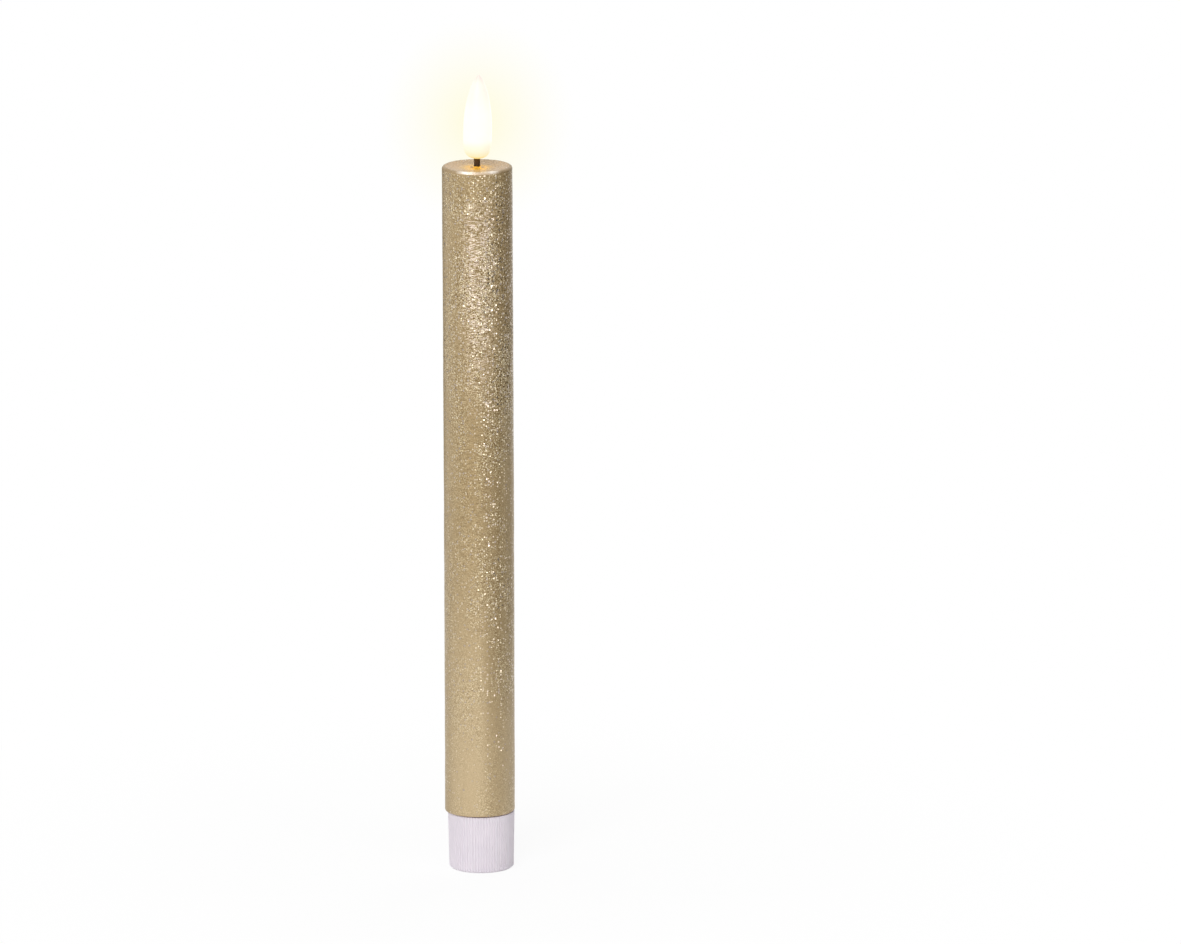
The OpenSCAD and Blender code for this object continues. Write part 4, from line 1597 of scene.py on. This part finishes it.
    def words(self) -> list[Piece]:
        """Returns cutters that engrave ON and OFF beside the ends of the switch's travel."""
        made = []
        facing_down = Matrix.Rotation(math.pi, 4, "X")
        upright = Matrix.Rotation(math.radians(90), 4, "Z")
        for word, across in (("ON", self.on_place), ("OFF", self.off_place)):
            text = bpy.data.curves.new(word, "FONT")
            text.body = word
            text.size = self.word_size
            text.align_x = text.align_y = "CENTER"
            text.extrude = self.word_depth
            text.offset = self.word_bold
            text.resolution_u = 3
            holder = add_object(word, text)
            mesh = evaluated_mesh(holder)
            bpy.data.objects.remove(holder)
            mesh.transform(Matrix.Translation((across, 0, 0)) @ facing_down @ upright)
            made.append(add_object(word, mesh))
        return made

    def coil(self, graph: Shape, given: Any) -> Socket:
        """Winds the conical spring with a flat turn at each end.

        Args:
            graph: The started tree.
            given: Its inputs by name.

        Returns:
            The geometry.
        """
        line = graph.out("GeometryNodeCurvePrimitiveLine", {"End": (0.0, 0.0, 1.0)})
        fine = graph.out("GeometryNodeResampleCurve", {"Curve": line, "Count": SPRING_POINTS})
        share = graph.node("GeometryNodeSplineParameter").outputs["Factor"]
        turn = graph.times(share, graph.times(given["Turns"], math.tau))
        radius = graph.blend(share, given["Base Radius"], given["Tip Radius"])
        flat = graph.over(self.spring_flat, given["Turns"])
        slope = graph.minus(1.0, graph.times(flat, 2.0))
        climb = graph.over(graph.minus(share, flat), slope, clamp=True)
        spot = graph.combined(
            graph.times(radius, graph.math("COSINE", turn)), graph.times(radius, graph.math("SINE", turn)),
            graph.blend(climb, given["Low"], given["High"]),
        )
        profile = graph.ring(WIRE_SIDES, given["Wire Radius"])
        return graph.wire(graph.moved(fine, Position=spot), profile)

    def cap(self, finish: Material) -> Piece:
        """Builds the cap: ribs, recess, window, words, thread and bosses.

        Args:
            finish: The finish of the cap.

        Returns:
            The cap.
        """
        shell = lathe("ribbed_cap", self.outline(), self.rib_count * self.columns_per_rib)
        grown(
            shell, "Cap ribs", self.ribs, finish, Rib_Count=self.rib_count, Rib_Depth=self.rib_depth,
            Inner_Radius=self.foot_radius - self.rib_root,
        )
        x, y, depth = self.recess
        recess = rounded_block("recess", (-x / 2, -y / 2, -depth), (x / 2, y / 2, depth), self.recess_round)
        x, y = self.window
        above = 2 * self.floor
        window = rounded_block("window", (-x / 2, -y / 2, -depth), (x / 2, y / 2, above), self.window_round)
        cut_out(shell, [recess, window, *self.words()])
        cap = joined("ribbed_cap", [shell, self.thread(), *self.bosses()])
        dress(finish, cap)
        smooth(cap, self.sharp_degrees)
        return cap

    def build(self, finishes: Finishes) -> None:
        """Builds the cap and the spring and dresses the board and its fittings.

        Args:
            finishes: The shared finishes.
        """
        place(self.cap(finishes.cap), Body.CAP, Slot.CAP_PLASTIC, "screw_cap")
        low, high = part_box("negative_spring")
        spring = grown(
            from_faces("cell_spring", [], []), "Conical spring", self.coil, finishes.tinned,
            Turns=self.spring_turns, Base_Radius=self.spring_base, Tip_Radius=self.spring_tip,
            Wire_Radius=self.spring_wire, Low=low.z + self.spring_wire, High=high.z - self.spring_wire,
        )
        place(spring, Body.CAP, Slot.TINNED_STEEL, "negative_spring")
        dress(SolderMask("Cap board", (Axis.X, Axis.Y)).make(), "cap_board")
        dress(finishes.tinned, "board_screws")
        dress(finishes.contact, "contact_ring")


@dataclass
class SlideSwitch:
    """The slide switch: metal case, pins and the lever with its finger ridges."""

    slider_height: float = 1.0 * MM
    slider_round: float = 0.08 * MM
    head_half: Point = (0.8 * MM, 0.9 * MM)
    head_round: float = 0.12 * MM
    overlap: float = 0.1 * MM
    sharp_degrees: float = 40.0
    ridge_count: int = 3
    ridge_pitch: float = 0.45 * MM
    ridge_size: Place = (0.2 * MM, 1.6 * MM, 0.16 * MM)

    @staticmethod
    def ridges(graph: Shape, given: Any) -> Socket:
        """Sets finger ridges in a row on the lever.

        Args:
            graph: The started tree.
            given: Its inputs by name.

        Returns:
            The geometry.
        """
        step = graph.combined(given["Pitch"])
        line = {"Count": given["Count"], "Start Location": given["First"], "Offset": step}
        sizes = {"Vertices": RIDGE_SIDES, "Radius": 0.5, "Depth": 1.0}
        rod = graph.out("GeometryNodeMeshCylinder", sizes)
        lying = graph.out("GeometryNodeTransform", {"Geometry": rod, "Rotation": (math.pi / 2, 0.0, 0.0)})
        ridge = graph.copied(lying, Points=graph.out("GeometryNodeMeshLine", line), Scale=given["Size"])
        return graph.joined(given["Geometry"], ridge)

    def build(self, finishes: Finishes) -> None:
        """Builds the lever and dresses the case and the pins.

        Args:
            finishes: The shared finishes.
        """
        low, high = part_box("switch_lever")
        slider_low = high.z - self.slider_height
        middle = (low.x + high.x) / 2
        tip = low.z + self.ridge_size[2] / 2
        x, y = self.head_half
        head = rounded_block(
            "head", (middle - x, -y, tip), (middle + x, y, slider_low + self.overlap), self.head_round
        )
        slider = rounded_block("slider", (low.x, low.y, slider_low), high, self.slider_round)
        lever = joined("lever", [head, slider])
        first = middle - self.ridge_pitch * (self.ridge_count - 1) / 2
        grown(
            lever, "Finger ridges", self.ridges, finishes.black, Count=self.ridge_count,
            Pitch=self.ridge_pitch, Size=self.ridge_size, First=(first, 0.0, tip),
        )
        smooth(lever, self.sharp_degrees)
        place(lever, Body.SWITCH, Slot.BLACK_PLASTIC, "switch_lever")
        dress(finishes.switch, "switch_case")
        dress(finishes.contact, "switch_pins")


# ---- Studio ------------------------

WHITE: Colour = (1.0, 1.0, 1.0)


@dataclass(frozen=True)
class Softbox:
    """A rectangular lamp."""

    name: str
    place: Place
    size: Point
    power: float

    def hang(self, aim: Vector) -> None:
        """Hangs the lamp, unseen by the camera.

        Args:
            aim: The place that it shines at.
        """
        data = bpy.data.lights.new(self.name, "AREA")
        data.shape = "RECTANGLE"
        data.size, data.size_y = self.size
        data.energy = self.power
        lamp = add_object(self.name, data)
        turned = (aim - Vector(self.place)).to_track_quat("-Z", "Y").to_matrix().to_4x4()
        lamp.matrix_world = Matrix.Translation(self.place) @ turned
        lamp.visible_camera = False


@dataclass(frozen=True)
class DarkCard:
    """A dark upright card out of the camera's sight, mirrored in one side of the candle."""

    name: str
    corner: Place
    across: Place
    height: float
    grey: Colour = (0.05, 0.05, 0.05)

    def stand(self) -> None:
        """Stands the card up."""
        low, run, rise = Vector(self.corner), Vector(self.across), Vector((0.0, 0.0, self.height))
        card = from_faces(self.name, [low, low + run, low + run + rise, low + rise], [(0, 1, 2, 3)])
        material = bpy.data.materials.new("Dark card")
        material.use_nodes = True
        shader = material.node_tree.nodes["Principled BSDF"]
        Graph(material.node_tree).fill(shader, {"Base Color": self.grey})
        card.data.materials.append(material)
        for rays in ("visible_camera", "visible_diffuse", "visible_shadow"):
            setattr(card, rays, False)


@dataclass
class Studio:
    """White floor and world, soft lamps, the flame's own light and the camera."""

    image: Point = (1181.0, 944.0)
    lens: float = 372.3
    sensor: float = 36.0
    distance: float = 3.83
    clip: Point = (0.05, 50.0)
    elevation_degrees: float = 13.3
    subject_height: float = 122.0 * MM
    subject_pixel: Point = (479.1, 488.9)
    roll_degrees: float = -0.25
    ambient: float = 0.27
    floor_rings: tuple[float, ...] = (9.5 * MM, 0.1, 0.5, 6.0)
    floor_segments: int = 96
    floor_colour: Colour = (0.92, 0.92, 0.92)
    floor_fade: Point = (0.02, 0.22)
    floor_white: Point = (0.9, 1.0)
    backdrop_gap: float = 0.45
    backdrop_half: float = 0.7
    # The flame's glow painted on the backdrop:
    glow_centre: float = 0.42
    glow_reach: float = 34.5 * MM
    glow_squash: Place = (1.0, 1.0, 0.9)
    glow_fade: float = 1.3
    glow_tint: Colour = (1.0, 0.966, 0.72)
    foot_size: float = 6.0 * MM
    foot_gap: float = 0.05 * MM
    foot_power: float = 0.00025
    foot_colour: Colour = (1.0, 0.62, 0.04)
    lamps: tuple[Softbox, ...] = (
        Softbox("Key", (-0.5, -1.35, 0.95), (0.8, 1.0), 15.5),
        Softbox("Side", (0.9, -1.0, 0.75), (0.35, 0.9), 1.8),
        Softbox("Over", (-0.14, -0.06, 1.25), (0.75, 0.3), 3.8),
        Softbox("Back", (0.7, 1.35, 0.85), (0.8, 0.8), 6.0),
        Softbox("Back fill", (-0.3, 1.5, 0.7), (0.8, 0.8), 4.5),
        Softbox("Under", (0.2, -0.35, -0.6), (0.4, 0.4), 3.5),
    )
    cards: tuple[DarkCard, ...] = (
        DarkCard("right_card", (0.2, -0.13, 0.0), (0.0, 0.3, 0.0), 0.45),
        DarkCard("back_card", (-0.12, 0.4, 0.0), (-0.22, -0.06, 0.0), 0.3),
    )

    def eye(self) -> Vector:
        """Returns the camera's place."""
        rise = math.radians(self.elevation_degrees)
        above = self.subject_height + self.distance * math.sin(rise)
        return Vector((0.0, -self.distance * math.cos(rise), above))

    def camera(self) -> None:
        """Aims the camera so that the candle's middle falls on its pixel of the frame."""
        width, height = self.image
        focal = self.lens / self.sensor * width
        right = (self.subject_pixel[0] - width / 2) / focal
        up = (height / 2 - self.subject_pixel[1]) / focal
        rise = math.radians(self.elevation_degrees)
        reach = math.sqrt((1 + right * right + up * up) / (1 + up * up))
        pitch = math.atan(up) + math.asin(math.sin(rise) * reach)
        yaw = -math.atan2(right, math.cos(pitch) + up * math.sin(pitch))
        level = math.cos(pitch)
        forward = Vector((math.sin(yaw) * level, math.cos(yaw) * level, -math.sin(pitch)))
        side = Vector((math.cos(yaw), -math.sin(yaw), 0.0))
        data = bpy.data.cameras.new("Camera")
        data.sensor_fit = "HORIZONTAL"
        data.sensor_width = self.sensor
        data.lens = self.lens
        data.clip_start, data.clip_end = self.clip
        camera = add_object("Camera", data)
        turned = Matrix((side, side.cross(forward), -forward)).transposed().to_4x4()
        turned = turned @ Matrix.Rotation(math.radians(self.roll_degrees), 4, "Z")
        camera.matrix_world = Matrix.Translation(self.eye()) @ turned
        bpy.context.scene.camera = camera

    def flame_light(self) -> None:
        """Adds the amber light that leaves the flame's foot and pools round the wick."""
        data = bpy.data.lights.new("Flame foot", "AREA")
        data.shape = "DISK"
        data.size = self.foot_size
        data.energy = self.foot_power
        data.color = self.foot_colour
        foot = add_object("Flame foot", data)
        foot.matrix_world = Matrix.Translation((0, 0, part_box("flame_shell")[0].z - self.foot_gap))
        foot.visible_camera = False
        foot.parent = frame["bodies"][Body.CANDLE.value]

    @staticmethod
    def seen(graph: Graph) -> Socket:
        """Tells seen rays from lighting ones.

        Args:
            graph: A tree of the stage.

        Returns:
            1 for camera, glossy and transmission rays.
        """
        rays = graph.node("ShaderNodeLightPath").outputs
        direct = graph.math("MAXIMUM", rays["Is Camera Ray"], rays["Is Glossy Ray"])
        return graph.math("MAXIMUM", direct, rays["Is Transmission Ray"])

    def white_world(self) -> None:
        """Makes the world white where it is seen, and plain soft light elsewhere."""
        world = bpy.data.worlds.new("White world")
        bpy.context.scene.world = world
        world.use_nodes = True
        world.node_tree.nodes.clear()
        graph = Graph(world.node_tree)
        light = graph.out("ShaderNodeBackground", {"Color": WHITE, "Strength": self.ambient})
        white = graph.out("ShaderNodeBackground", {"Color": WHITE, "Strength": 1.0})
        both = graph.out("ShaderNodeMixShader", {0: self.seen(graph), 1: light, 2: white})
        graph.node("ShaderNodeOutputWorld", {"Surface": both})

    def floor(self) -> None:
        """Builds the white floor: open under the candle, unseen from below, pure white far off."""
        count = self.floor_segments
        vertices = [around(r, math.tau * k / count, 0.0) for r in self.floor_rings for k in range(count)]
        faces = []
        for a in range(0, len(vertices) - count, count):
            for k in range(count):
                n = (k + 1) % count
                faces.append((a + k, a + count + k, a + count + n, a + n))
        floor = from_faces("floor", vertices, faces)
        cloth = Surface("White floor")
        distance = cloth.length(cloth.where)
        far = cloth.times(cloth.ease(distance, *self.floor_fade, *self.floor_white), self.seen(cloth))
        dull = cloth.out("ShaderNodeBsdfDiffuse", {"Color": self.floor_colour})
        white = cloth.out("ShaderNodeEmission", {"Color": WHITE, "Strength": 1.0})
        top = cloth.out("ShaderNodeMixShader", {0: far, 1: dull, 2: white})
        floor.data.materials.append(cloth.finish_one_sided(top))

    def backdrop(self) -> None:
        """Hangs a white backdrop with the flame's glow painted on it round the flame."""
        low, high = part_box("flame_shell")
        flame = Vector((0.5 * (low.x + high.x), 0.0, low.z + self.glow_centre * (high.z - low.z)))
        sight = (flame - self.eye()).normalized()
        behind = flame + sight * (self.backdrop_gap / sight.y)
        half = self.backdrop_half
        corners = [(-half, 0.0), (half, 0.0), (half, 2 * half), (-half, 2 * half)]
        places = [(x, self.backdrop_gap, z) for x, z in corners]
        backdrop = from_faces("backdrop", places, [(0, 1, 2, 3)])
        sheet = Surface("White backdrop")
        from_glow = sheet.vector("SUBTRACT", sheet.where, behind)
        from_glow = sheet.vector("MULTIPLY", from_glow, self.glow_squash)
        near = sheet.minus(1.0, sheet.over(sheet.length(from_glow), self.glow_reach), clamp=True)
        # Painted glow of the flame, warm near it and white further off.
        colour = sheet.mix(sheet.math("POWER", near, self.glow_fade), WHITE, self.glow_tint)
        lit = sheet.out("ShaderNodeEmission", {"Color": colour, "Strength": 1.0})
        backdrop.data.materials.append(sheet.finish_one_sided(lit))
        backdrop.visible_diffuse = False
        backdrop.visible_shadow = False

    def build(self) -> None:
        """Sets up the whole studio."""
        bpy.context.scene.view_settings.view_transform = "Standard"
        self.camera()
        self.white_world()
        self.floor()
        for lamp in self.lamps:
            lamp.hang(Vector((0, 0, self.subject_height)))
        for card in self.cards:
            card.stand()
        self.flame_light()
        self.backdrop()


def main() -> None:
    """Builds the sub-assemblies and the studio in order."""
    logging.basicConfig(level=logging.INFO, format="%(message)s")
    finishes = Finishes.make()
    WaxSleeve().build()
    FlameTop().build(finishes)
    CandleCore().build(finishes)
    ScrewCap().build(finishes)
    SlideSwitch().build(finishes)
    Studio().build()


if __name__ == "__main__":
    main()
